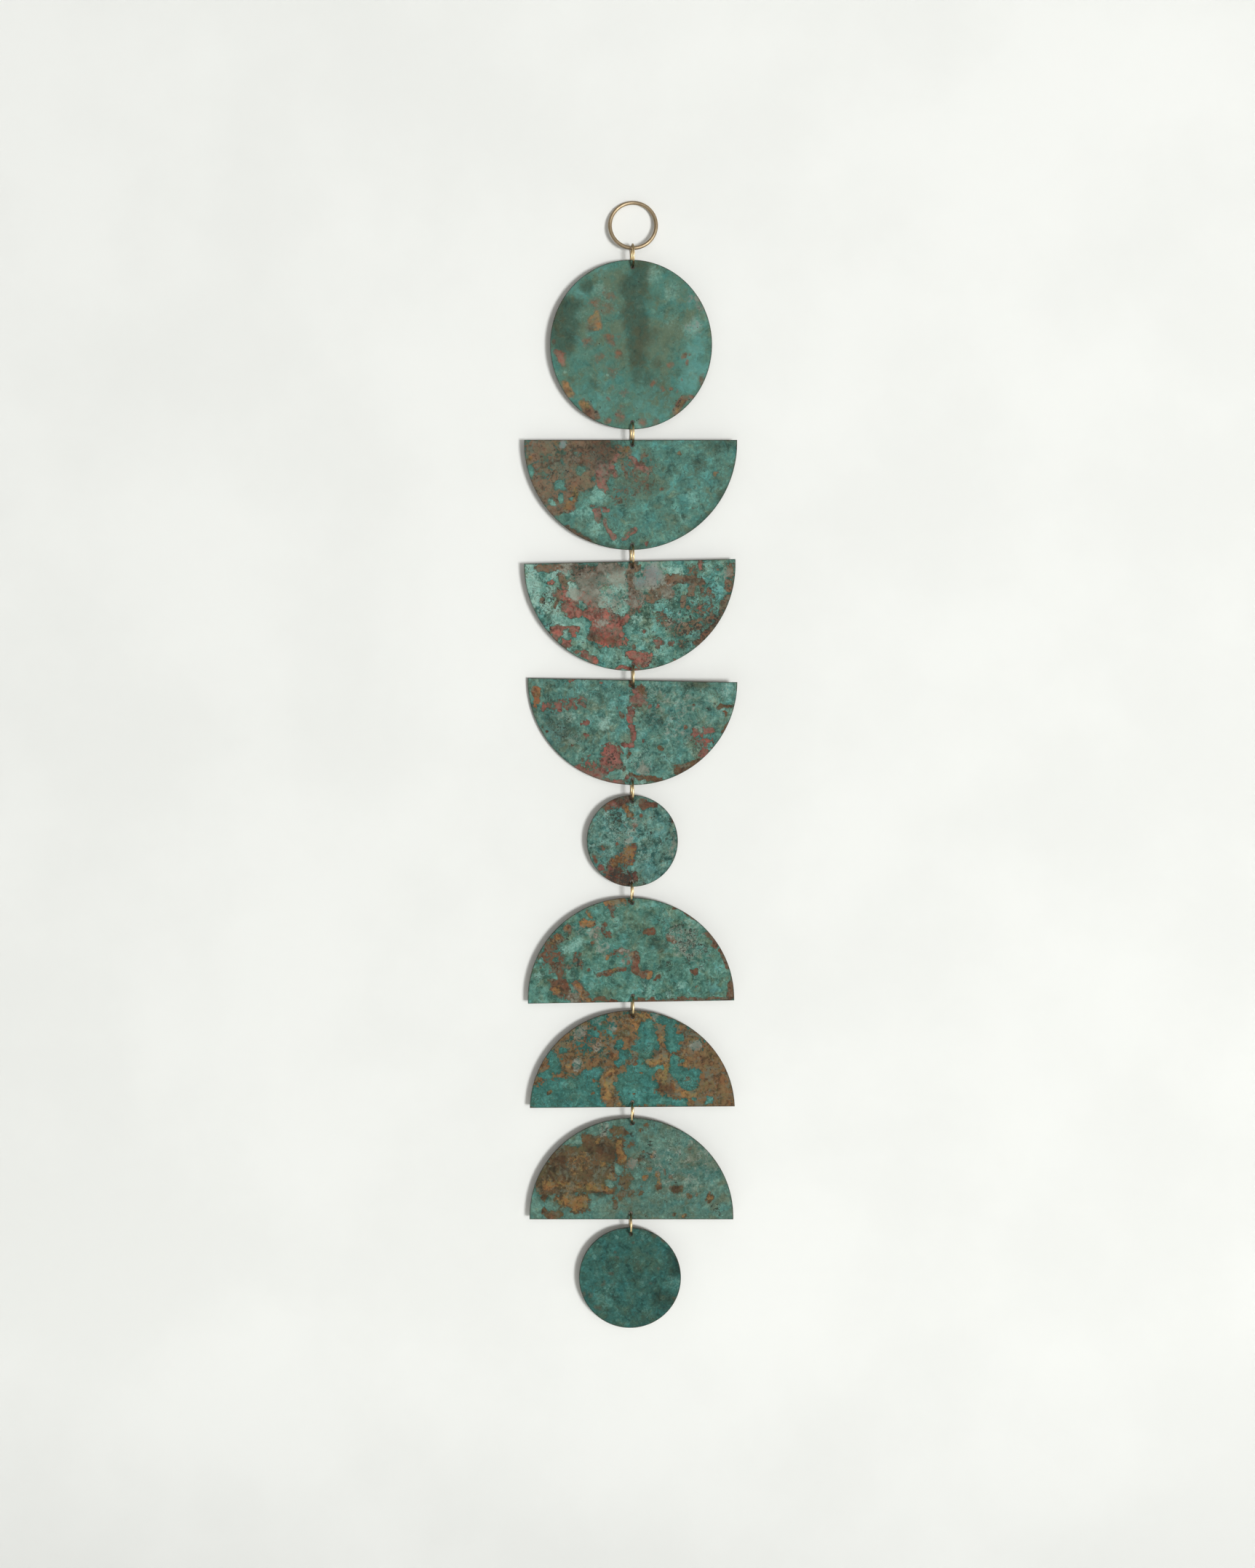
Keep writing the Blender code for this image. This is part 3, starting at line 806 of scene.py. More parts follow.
make_plate(
    "middle_bowl", bowl_net, steps=170, seed=300,
    tones=dict(Deep=(52, 90, 80), Body=(88, 131, 118), Light=(115, 160, 148), Brown=(111, 88, 68),
        Ochre=(118, 90, 60), Copper=(147, 91, 80), Softness=0.14, Contrast=0.95, Cover=0.95, Line=0.65,
        Dust=1.0),
    copper=[(-34, 11, -27, 7, 3.4, 0.75), (-30, 4, -26, 1.5, 3.2, 1.05), (-24, 10, -17, 6, 3.2, 0.8),
        (-21, 8, 2.8, 0.8), (-20, 2, -3, -1, 3.4), (-14, -4, -6, -5, 5.4, 1.05), (-17.5, -5.5, 3.3),
        (-4, -9.5, 2), (-14.5, -12.5, -5, -12.5, 3.0, 0.62), (-10, -15.5, -6, -15.5, 1.5, 0.8),
        (-37, -5.5, -27, -7, 2.8), (-36, -8, 2.6), (-31.5, -11.5, 2.6), (-27, -8, -25.5, -11, 1.4, 0.8),
        (-23.5, -17.5, -17, -21.5, 2.2), (-26.5, -16.5, 1.3, 0.8), (-3, -18.5, 8, -19.5, 2.3),
        (2, -21, 6, -21.2, 2.3), (-10, -25.3, 4, -25.5, 0.8, 0.8), (13, -12.5, 2.6, 0.85),
        (5.5, -7.3, 1.1, 0.9), (19.5, -21.5, 1, 0.8), (34.5, 24, 1.9, 0.6), (2, 6, 5, 0.55),
        (20.5, -4.5, 2, 0.55), (19, -12.5, 1.4, 0.6), (33, 3.5, 1.3, 0.8), (-37.8, 16.5, 1.3, 0.9),
        (-22, 12, 5, 0.5)],
    brown=[(-18, -8.5, -7, -11, 3, 1.1), (-9, -2, -2, -4, 1.6, 1.05), (-30, 8, -24, 5, 1.6, 0.9),
        (-24, 22, -6, 23, 3.5, 0.62), (-26, 17, -16, 12, 4, 0.58), (8, 20, 18, 10, 3, 0.55),
        (30, 22, 36, 10, 3.5, 0.48), (14, 0, 20, -4, 3, 0.5), (32, 2, 40, 6, 3, 0.5),
        (0, 2, 5, 8, 3, 0.55), (-32.8, 19.5, -32, 16, 1.9, 1.05), (-42.8, 9.3, 1.9, 0.9), (2, 24, 2.4),
        (0.5, 22, 1, 11, 1.9, 0.85), (9.5, 8.5, 12, 9.5, 2.6), (12, 12, 18, 16.5, 2.6),
        (18, 17.5, 33.5, 16.8, 1.9, 1.05), (29.3, 15, 29.5, 9, 1.6), (25.5, 8.5, 24.5, 5, 1.3),
        (27.5, 3.5, 1.7, 0.8), (34, 13.5, 1.3, 0.9), (36.5, 6, 1.2, 0.9), (33.5, -5.5, 1.6, 0.9),
        (36.5, -3, 1, 0.7), (48.5, 23, 48.5, 12, 2, 0.75), (46.5, 9, 43.5, 1, 1.8, 0.75),
        (-38, -5.5, 1.7), (0.5, -14, 1.2, 0.9), (-19.5, -9.5, -12.5, -10.5, 1.9, 1.05), (-20, -3, 1.4),
        (-9, -13, 1.8, 0.8), (-44, 24.8, -27, 24.5, 1.9, 0.85), (-24, 22, 4, 0.65), (-17, 22, 3, 0.5),
        (-35.3, 12.5, -36, 4, 1, 0.85), (42, 22, 2, 0.5), (29, 20, 1.5, 0.5), (-30, 13, 2.5, 0.6),
        (-12, 13, 4, 0.5), (42, -3, 32, -15, 1.4, 0.75), (-20, -18, 2, 0.7), (38, -2, 22, -8, 3, 0.5),
        (25, -14, 3, 0.5)],
    grey=[(-20, 17, 7), (-16, -3, -12, -6, 3.2, 0.5), (-22, 7, 3, 0.4), (-27, 12, 4, 0.8), (-6, 20, 6),
        (-13, 20, 5), (-19, 10, 5, 0.9), (11, 20, 5), (5, 16, 4, 0.9), (2, 8, 5, 0.8), (-10, 8, 5, 0.7),
        (-28, 24, 6, 0.6), (3, 12, 4, 0.7), (47, 20, 3, 0.6), (17, 12, 4, 0.6), (21, -4, 4, 0.4)],
    pale=[(-29, 15, -27, 8, 2.2, 0.9), (-6, 20, 4.5, 0.8), (-6, 14, 3.6, 0.7), (-11, 7.5, 3.5, 0.7),
        (-5, 3, 3, 0.6), (-47, 24, -46.5, 7, 3, 0.8), (-37, 20.5, -30, 22, 2, 0.8), (-41, 5, 3.5, 0.7),
        (-36, 2, 3, 0.8), (-34, -3, 3, 0.7), (-32, -7.5, 1.7), (24, 20.5, 2.2, 0.9), (20, 21.5, 2, 0.7),
        (-38, 12.5, 2.5, 0.7), (4, -2, 2.5, 0.6), (-25, -4, 2, 0.6)],
    islands=[(-24.5, 5.5, 2, 0.7), (-23, -1.5, 1.8, 0.9), (-31, -8, 2, 1.05),
        (-38, -0.5, -22, -3, 2.1, 1.1), (-24.5, -12, 3.2), (-19, -15.5, 2.8), (-22, -8, 1.3, 0.9),
        (-12, -19, -6, -18, 2.8), (-5, 3, 3), (-11, 9, 4), (-1, -6, 3), (-28, 11, -28, 15, 1.8, 0.8)],
    specks=[(22, -3, 40, -6, 7, 0.55), (16, 2, 30, 4, 5, 0.45), (-24, 22, 4, 0.5), (5, 8, 5, 0.3),
        (-9, 4, 4, 0.3), (24, -12, 6, 0.5), (-39, 13, -41, -3, 4, 0.45), (37, 12, 6, 0.35),
        (8, -21, 3, 0.4)],
    smoke=[(-28, 23.5, -5, 24.5, 2.6, 0.8), (-17, 19, 4, 0.5), (0, 20, 1, 10, 2, 0.6),
        (29, -15, 43, 1, 2, 0.7), (-18, -8.5, -8, -11, 3, 0.7), (-22, 4, 3, 0.5),
        (-6, -1, -3, -5, 2.5, 0.5), (-30, -8, 3, 0.4), (36, -8, 28, -16, 3, 0.5), (-24, 23, 4, 0.5),
        (32, -13, 42, -4, 1.5, 0.7), (35, -9, 3, 0.4), (-38, 2.5, 0.9, 0.9),
        (-17, -9.5, -11, -9.5, 1.2, 0.7)],
    blue=[(11, 20, 4, 0.9), (5.5, 17, 2.5, 0.8), (-1, -6, 3, 0.3), (38, 10, 39.5, 0, 3, 0.4),
        (-45, 5, 4, 0.3), (35, -8, 4, 0.5)],
)

# ---------------------------------------------------------------- lower bowl
# The third half disc. An even crust covers it almost to the edges, and has flaked away only in
# small red-brown chips scattered over the middle and along the arc.

make_plate(
    "lower_bowl", bowl_net, steps=170, seed=400,
    tones=dict(Deep=(56, 90, 82), Body=(82, 122, 110), Light=(112, 154, 142), Brown=(98, 70, 48),
        Ochre=(136, 92, 60), Copper=(138, 84, 76), Softness=0.11, Contrast=0.78, Cover=0.95, Line=0.35,
        Dust=0.85),
    ochre=[(-47.3, 20, -47.3, 13, 1.7, 0.95)],
    copper=[(-42, 11.7, 1.6, 0.85), (-36, 12.7, 1.6, 0.8), (-29, 13.5, 2.5, 0.9),
        (-24.5, 16, 1.4, 0.75), (-25, 13, 1, 0.7), (-29.7, 25, -27.5, 25, 1, 0.9),
        (-22.5, 24.5, 1.4, 0.7), (-16, 24.5, 0.9, 0.7), (-23, 4.5, 1.5, 0.9), (-21.5, -2.5, 1.6, 0.8),
        (-20.6, -11, 1, 0.7), (-28.5, -6.5, 1.1, 0.7), (-18, -15, 1, 0.7), (-22.5, -15, 1, 0.7),
        (2.8, 15.5, 3.2), (1.5, 19, 2), (-0.8, 11, 0, 6.5, 1.6), (0.5, 3, 0.8, -3, 1.4),
        (-0.5, -5.5, -3, -6.5, 1.2), (8.3, 12.8, 1.1, 0.9), (12.2, 12.7, 1.1, 0.9),
        (-7, 11.8, 1.2, 0.6), (-6.8, 19, 0.8, 0.6), (8, 5, 0.8, 0.6), (5.5, -3.5, 0.8, 0.6),
        (-9.7, -8.5, -9.3, -14, 3.6), (-13, -14.5, 2), (-6, -15.5, 2.2), (-14.5, -19, -17, -20.5, 2.8),
        (-26, -17, -20, -20.5, 1.6), (-17, -22.8, -4, -25, 1.4), (-1.5, -22.5, 1.4, 0.9),
        (30.5, 0.3, 2.4, 0.9), (38.5, 1.5, 2.2, 0.8), (36, -4, 2.4, 0.85), (35, -8.5, 2.4, 0.85),
        (38.5, -6.5, 1.5, 0.8), (34, -2, 6, 0.5), (-38, 12.5, -23, 14, 3, 0.5), (-20, -16, 4, 0.5)],
    brown=[(0.2, 25, 0.5, 22, 1.1), (5, 19.5, 2.8), (6, 14.3, 1.4, 0.9), (-4.5, 8, 1.5, 0.9),
        (-24.5, -13.5, 1.2, 0.8), (-3.5, -17.5, 1.4, 0.9), (-1, -10.5, 2, 0.75), (14, -8, 1.4, 0.85),
        (0.5, -21.5, 8, -21.3, 0.9), (7, -22, 13.5, -23, 1.5), (22.5, -18.2, 33, -12.5, 1.6),
        (25.5, 2.5, 1.1, 0.85), (41.5, 12.5, 44, 15.5, 1, 0.9), (44, 15.5, 48.5, 14.5, 1, 0.9),
        (44.5, 11.5, 45, 9.5, 0.7, 0.9), (30.3, 14, 0.7, 0.9), (-41, -1, -44, 2, 1, 0.6),
        (47.5, 6, 44, 0, 1.2, 0.6)],
    specks=[(-9.5, -12.5, 3.5, 0.75), (-4.5, -17, 2, 0.7), (-36, 0, 7, 0.35), (-29, 13.5, 2, 0.3),
        (36.6, 12.2, 1.2), (39, 15.3, 0.7), (6, -24, 2.5, 0.7), (10, -5, 14, 0.2), (30, -6, 8, 0.25)],
    smoke=[(-40, 6, -30, -3, 6.5, 0.6), (25, 24.5, 36, 24.5, 2.6, 0.7), (-38, -6, 4, 0.4),
        (-16, 16, 5, 0.3), (-43, -2, 2, 0.5)],
    pale=[(-13.5, 5, 3, 0.9), (-35, 8.5, 3, 0.5), (46, 23, 3.5, 0.5), (10, 22, 4, 0.35),
        (-2, -14, 2.2, 0.6), (5, -24, 2.2, 0.8), (44, 12, 2, 0.6), (-29, 7, 3, 0.5), (-23, 18, 3, 0.35),
        (5, -12, 5, 0.35), (43.5, 9, 1.2, 0.7), (-28, -3, 2, 0.6)],
    grey=[(5.5, -17.5, 3, 0.7), (25, 8, 12, 0.25), (12, 15, 8, 0.25)],
    blue=[(46, 23, 4, 0.6), (-37, -1, 7, 0.6), (-15, -4, 6, 0.35), (-6, 0, 5, 0.35), (12, -18, 5, 0.3),
        (-25, 20, 6, 0.3), (-12, 22, 5, 0.3)],
    islands=[(-8, -21.5, 1.9), (-9.5, -19.7, 1.2)],
)

# ---------------------------------------------------------------- small disc
# The small disc between the bowls and the domes, drilled top and bottom. Dark pitting lies along
# its lower edge, and bare spots across the middle.

make_plate(
    "small_disc", disc_net, steps=74, seed=500,
    tones=dict(Deep=(44, 80, 74), Body=(80, 118, 108), Light=(106, 148, 138), Brown=(104, 68, 50),
        Ochre=(128, 92, 52), Copper=(124, 74, 66), Softness=0.12, Contrast=0.92, Cover=0.95, Line=0.4,
        Dust=0.85),
    brown=[(-12, 17.3, -3, 20.5, 2.4, 0.95), (-2, -7, -9, -13, 4, 0.64), (-12, -16, -2, -19, 3, 0.8),
        (-8, 19.5, -2, 20.5, 2), (6, 18.5, 9.5, 18, 2.2), (5, 12.5, 1.1, 0.85), (-14.6, -2.3, 1.3, 0.8),
        (-7.7, -1.2, 1.2, 0.85), (1, -2, 0.5, -4, 1.7, 0.9), (-18.5, -8.5, 1.4, 0.85),
        (-13.5, -15.5, 1.6, 0.8), (18.8, 10, 1.8, 0.7), (1.5, 7, 1.2, 0.6), (-7.5, -15, 3, 0.6),
        (-13, 17.2, 1, 0.8)],
    ochre=[(-1, -4, -5, -9, 2.2, 0.75), (-8, -10, 2.8, 0.8), (-4.5, 17, -1.5, 12.5, 1.5),
        (-1, -7.5, 1.4, 0.85), (-6.5, -9, 2.4, 0.85), (-8, -11.5, 1.8, 0.8), (0, -1, 1.2, 0.7),
        (-1, -10.5, 1.2, 0.7)],
    copper=[(-8.3, 17.3, 1.8, 0.95), (0, 10.5, 0.9, 0.9), (-15.5, -12, 2.2, 0.95),
        (-9.8, -13, 1.4, 0.9), (-10.8, -17.3, 1.1, 0.9), (1.5, -17.5, 1.6, 0.95),
        (7.5, 19.5, 1.5, 0.6)],
    specks=[(-8.5, 11, 3.4, 0.85), (-10.5, 15.8, 0.8, 0.7), (2.5, 14, 0.9, 0.9), (11, 13, 1.5, 0.9),
        (15, 10.3, 1.2, 0.8), (18.5, 10, 2.2, 0.8), (18, 3.8, 1.8, 0.8), (10, 5, 10, 2, 0.8, 0.8),
        (13, -0.5, 1, 0.8), (-8, -17, -2, -18.5, 3.4, 0.9), (5.5, -20.5, 2, 0.9), (-5, 5, 6, 0.3),
        (4, 5, 5, 0.35), (-14, -13, 3, 0.5)],
    smoke=[(-8, -17, -2, -18.5, 3.8, 0.95), (-7, 20, -2, 20.5, 2.6, 0.8), (8, 19, 2, 0.5),
        (9, -15, 4.5, 0.35)],
    pale=[(-13, 14, 3, 0.5), (-20, -3, 1.6, 0.7), (-5, -17.5, 3.2, 0.9), (-10, 2, 5, 0.35),
        (5.5, -20.5, 1.5, 0.6), (-12, 7, 4, 0.35), (5, -8, 5, 0.25)],
    blue=[(2, 15.5, 1.8, 0.7), (14, 5, 3, 0.6), (9, -15, 5, 0.4), (9, 12, 3, 0.4), (-15, -6, 3, 0.4)],
    grey=[(20.5, 4, 20, -8, 1.2, 0.6), (0, 7, 4, 0.35), (-4, 2, 4, 0.3)],
)

# ---------------------------------------------------------------- upper dome
# The first half disc hung arc upward, by a hole at the top of the arc and another at the middle
# of the flat edge. The crust has come off its left end, where brown and green lie in patches.


def dome_net(half, cells):
    """The bowl's net, turned over so that its flat edge is down."""
    return bowl_net(half, cells) * (1, -1)


make_plate(
    "upper_dome", dome_net, steps=170, seed=600,
    tones=dict(Deep=(52, 88, 78), Body=(78, 120, 106), Light=(104, 150, 138), Brown=(100, 68, 48),
        Ochre=(134, 96, 56), Copper=(118, 70, 54), Softness=0.14, Contrast=0.78, Cover=0.95, Line=0.35,
        Dust=1.0),
    ochre=[(-11, 23.2, -3.5, 24.6, 1.8, 0.9), (-22, 14.7, -18.5, 13, 1.9, 0.95),
        (-20.3, 20.3, -19, 17.5, 1.1, 0.8), (-36, 5.5, 2.8, 0.75), (-36, -20, 2.4, 0.75),
        (-25.5, -19, -20.5, -24, 1.8, 0.8), (-11, -3.5, 1.3, 0.95), (9.5, -12.7, 1.4, 0.85),
        (1, -2, 1.6, 0.7), (-30.5, 10.5, 1.6, 0.6), (-6, -9.5, -12, -10.5, 0.9, 0.7)],
    brown=[(-9, 20.5, 2.6), (-9.2, 17.5, 1.3, 0.9), (0, 25.5, 1.3), (-12.5, 12.3, 1.4, 0.9),
        (-30.5, 10.5, 2.2, 0.9), (-35.5, 5.5, 3.2), (-38, 0, -36, -8, 6.8), (-43, -3, 4.5),
        (-33, -8, 4.5, 0.9), (-36, -15, -34, -19, 4.5), (-31, -23, -25, -24, 2.8, 0.75),
        (-26.5, -17, -20.5, -24, 2.2), (-27, -2.5, 2.8, 0.85), (-24, -7, 2.2, 0.6), (-17, 8, 3, 0.6),
        (-11.5, 8.5, 2, 0.8), (-18.5, 3.5, 1.5, 0.8), (-3, -3, 2.4, 0.55), (-9, -2, 0, -1, 2, 0.5),
        (2.3, -1, 2.8, -5, 1.6), (3, -10, 6.5, -11.5, 2.2), (-14.5, -12, -11, -10.5, 1.4),
        (-11, -10.5, -2, -9.3, 1.2), (9.5, -12.7, 1.6), (7, 9.7, 11, 8.7, 1.8),
        (18.5, 5.5, 20.5, 4, 1.6), (31.5, -11, 1.6, 0.9), (13.8, -14.5, 1.2, 0.9),
        (22, 21.5, 33, 14.8, 0.7, 0.9), (37.5, 7.5, 42.5, 1, 1.5, 0.9), (44.5, -2, 48, -10, 1, 0.9),
        (49.3, -16, 50, -24, 1.7, 0.9), (1, -25.2, 26, -25.3, 1.1, 0.9), (10, -24, 1.5, 0.9),
        (24, -24.2, 1.5, 0.9), (-22, -25, -8, -25.3, 1, 0.9), (28, -25.3, 50, -25.5, 0.7, 0.8),
        (-20, -10.5, 1.2, 0.7), (32, -19.5, 0.8, 0.8)],
    copper=[(-1, -6.3, 1.3, 0.9), (3, -6, 2.5, -9, 1.8, 0.85), (-34, -5, 3, 0.5),
        (-15.5, -13, 1.4, 0.6), (41, 3.5, 1.2, 0.6)],
    islands=[(-36, -4, 9, 0.4), (2, -8, 6, 0.2), (-31.5, 1, -25, 4.5, 2.4), (-24.2, 1.5, 1.8),
        (-19.5, 9, 1.7), (-45, -5.3, 1.2), (-46.5, -12.5, -43.5, -11.5, 2), (-37.5, -13, 1.7),
        (-47.5, -20.5, 4), (-42.3, -20, 2), (-29, -18.5, 1), (-28.5, -13.5, 2.4), (-16, 20, 2.8),
        (-47, -24, 3), (-31, -10, 1.5, 0.8)],
    pale=[(-31.5, 1, -25, 4.5, 2.2, 0.7), (-19.5, 9, 1.6, 0.6), (-45.5, -12, 2, 0.7), (24, -18, 2, 0.7),
        (19, -22, 2, 0.5), (33, 0, 4, 0.4), (28, 15, 2, 0.5), (8, -20, 5, 0.35), (35, -10, 2, 0.5),
        (-45, -5.3, 1.1, 0.6), (25, 3, 6, 0.3)],
    grey=[(27, 5, 8, 0.5), (31, -2, 6, 0.45), (-14, 1, 4, 0.35), (-17, 8, 3, 0.6), (-2, -3, 4, 0.4),
        (-28, -23, 4, 0.5), (-24, 11, 3, 0.5)],
    specks=[(24, 11, 31, 8, 3, 0.75), (27, 4, 34, -1, 5, 0.6), (22, 8, 4, 0.4), (19, -9, 2.2, 0.8),
        (29, -5, 3, 0.6), (35, -9.5, 2.5, 0.6), (-25, -6, 3, 0.6), (10, -19, 1, 0.9), (15, 14, 2, 0.4),
        (5, 11, 3, 0.35), (-30, 7, 1.5, 0.8), (12, 10.5, 1.5, 0.6)],
    smoke=[(12, 4, 16, 1.5, 2.8, 0.8), (2, 5, 4, 0.3), (-5, 8, 3, 0.3)],
    blue=[(41, -20, 4, 0.6), (-5, 10, 3.5, 0.4), (18, 15, 3, 0.35), (28, 15, 2, 0.5),
        (-16, 20, 2.5, 0.4), (40, 8, 4, 0.35)],
    olive=[(7, 12, 7, 0.4), (0, 18, 5, 0.35), (-2, -16, 5, 0.2), (12, -5, 5, 0.3)],
)

# ---------------------------------------------------------------- middle dome
# The second dome, where little of the crust has held: it lies as a green patch at lower left and
# as islands down the middle of bare brown brass.

make_plate(
    "middle_dome", dome_net, steps=170, seed=700,
    tones=dict(Deep=(40, 80, 72), Body=(53, 102, 93), Light=(76, 132, 123), Brown=(110, 86, 56),
        Ochre=(134, 104, 62), Copper=(128, 88, 76), Softness=0.13, Contrast=0.85, Cover=1.0, Line=0.35,
        Dust=0.95),
    brown=[(-40, -4, 40, -4, 30)],
    islands=[(-24, 8, 9, 0.45), (-13, 13, 5, 0.5), (-14, 4, 4, 0.5), (32, 8, 5, 0.35), (30, 17, 3, 0.4),
        (-45, -8.5, -41, -8, 2.2), (-45, -19, -22, -19, 7), (-40, -13, -24, -13, 4.5),
        (-22, -8.5, -17.5, -6.5, 2.8), (-20, -14, -18, -21, 4.5), (-40, 3.5, -38, -4, 3), (-34, 4, 1.9),
        (-26.5, 8, 1.8), (-16.5, 18, 2.6, 0.85), (-13.5, 20.5, 1.6, 0.8), (-20.5, 13, -16.5, 11.5, 1.4),
        (-11.5, 14, -9.5, 10.5, 1.7, 0.8), (-5.5, 8, 2.2), (-2.5, 2.5, 3.2), (8, 14.5, 4, 6, 4),
        (9.5, 12, 6, 3.5, 3.8), (8.5, 16.5, 1.9), (11.3, 13, 12, 7, 1.8), (13.5, 19, 20, 18, 2),
        (19.5, 15, 20.5, 6.5, 3), (23.3, 11.5, 1.8), (19, 4.5, 1), (-7.5, -2, -4, -0.5, 1.8),
        (4.5, -1.5, 2.2), (0, -6, 8, -6, 3.2), (11, -4.7, 15, -5, 1.5), (-3, -10.5, 6, -10, 4.2),
        (-4, -15, 8, -14, 4.6), (-3, -20, 10, -20, 3.8), (10, -20, 25, -22.7, 2.6), (-8, -13, 1.6),
        (21, 1, 21.5, -5, 2.1), (24.3, -1, 1.4), (22.5, -8, 27, -9, 3.6), (31, -7, 29, -14, 3.1),
        (33.8, -5.8, 1.2), (26, -13.5, 2.8), (31.5, -21.3, 1.1), (37.5, -21.2, 1.6), (36, 8, 0.9),
        (31.5, 6.5, 2.3), (-27, -3, 2.8, 0.85), (-26, 14, 3.2, 0.6), (11, 21.3, 1.8), (-9, 17, 2, 0.6)],
    ochre=[(-12, -7, -10.5, -14, 2.6), (9, -1, 17, 0, 2.6), (17.5, -4, 16, -9, 2.4),
        (22, -15, 30, -19, 2.4), (-12, -18.5, 2.2), (-6, -23, 1.6), (3, 15.8, 1.8, 0.8),
        (-2, 19.5, 8, 20.5, 2.8, 0.8), (-8, 2, 2.4, 0.8), (-31.5, -4, 1.3), (15.5, 10, 1.7),
        (-32, 9, 2, 0.8), (28, -2, 3, 0.6), (24, 5, 2.5, 0.6)],
    rust=[(-20, -17.7, 1.2), (-40.3, -17, 1.1, 0.9), (-16.5, -12.3, 1.1, 0.7), (-19.7, -11, 0.9, 0.8),
        (-4.7, -5, 1.2), (28.7, -11, 1.1), (5.5, -7.5, 0.9, 0.7), (13.5, 13, 1.6), (2, -18, 0.8, 0.6),
        (-30, -20, 0.8, 0.6)],
    smoke=[(-2, 20, 4, 0.4), (24, 8, 4, 0.4), (-22, 12, 5, 0.4), (-10, 2, 3, 0.4), (-36, 8, 4, 0.3),
        (14, -15, 19.5, -15.5, 2.3), (12, 3.5, 2, 0.9), (-13, -8.5, 0.8), (-11, -7.5, 0.8),
        (-6, 22.5, 2.5, 0.6), (-42, -16, -22, -18, 6, 0.3), (-40, -22, -20, -22, 3, 0.35),
        (-33.8, 10.7, 1.5, 0.7), (0.5, 22, 1.2, 0.9), (-14, -3, 2, 0.5), (33, -1, 4, 0.3)],
    grey=[(31.5, 6.5, 2.3), (-27, -3, 3, 0.9), (-26, 14, 3.5, 0.8), (-16.5, 18, 2.6, 0.5),
        (11, 21.3, 2, 0.7), (-9, 17, 2.5, 0.6), (-17, 7, 3, 0.5)],
    pale=[(-34, -11.8, 1.8, 0.8), (-41, -21, 0.8, 0.9), (37.5, -21.2, 1.3, 0.7), (-17, -1, 1.2, 0.8)],
    blue=[(-18.5, -7, 2.4), (-22, -6.5, 2, 0.7), (-17, 12, 2, 0.5), (22, -22, 3, 0.3)],
    specks=[(-28, 6, 12, 0.25), (-16, 4, 8, 0.3), (-38, 0, 4, 0.3), (38, -6, 12, 0.15)],
)

# ---------------------------------------------------------------- lower dome
# The last half disc. Its left half is bare and dark, with curled smoke marks at the far end. Its
# right half keeps a thin, dusty green.

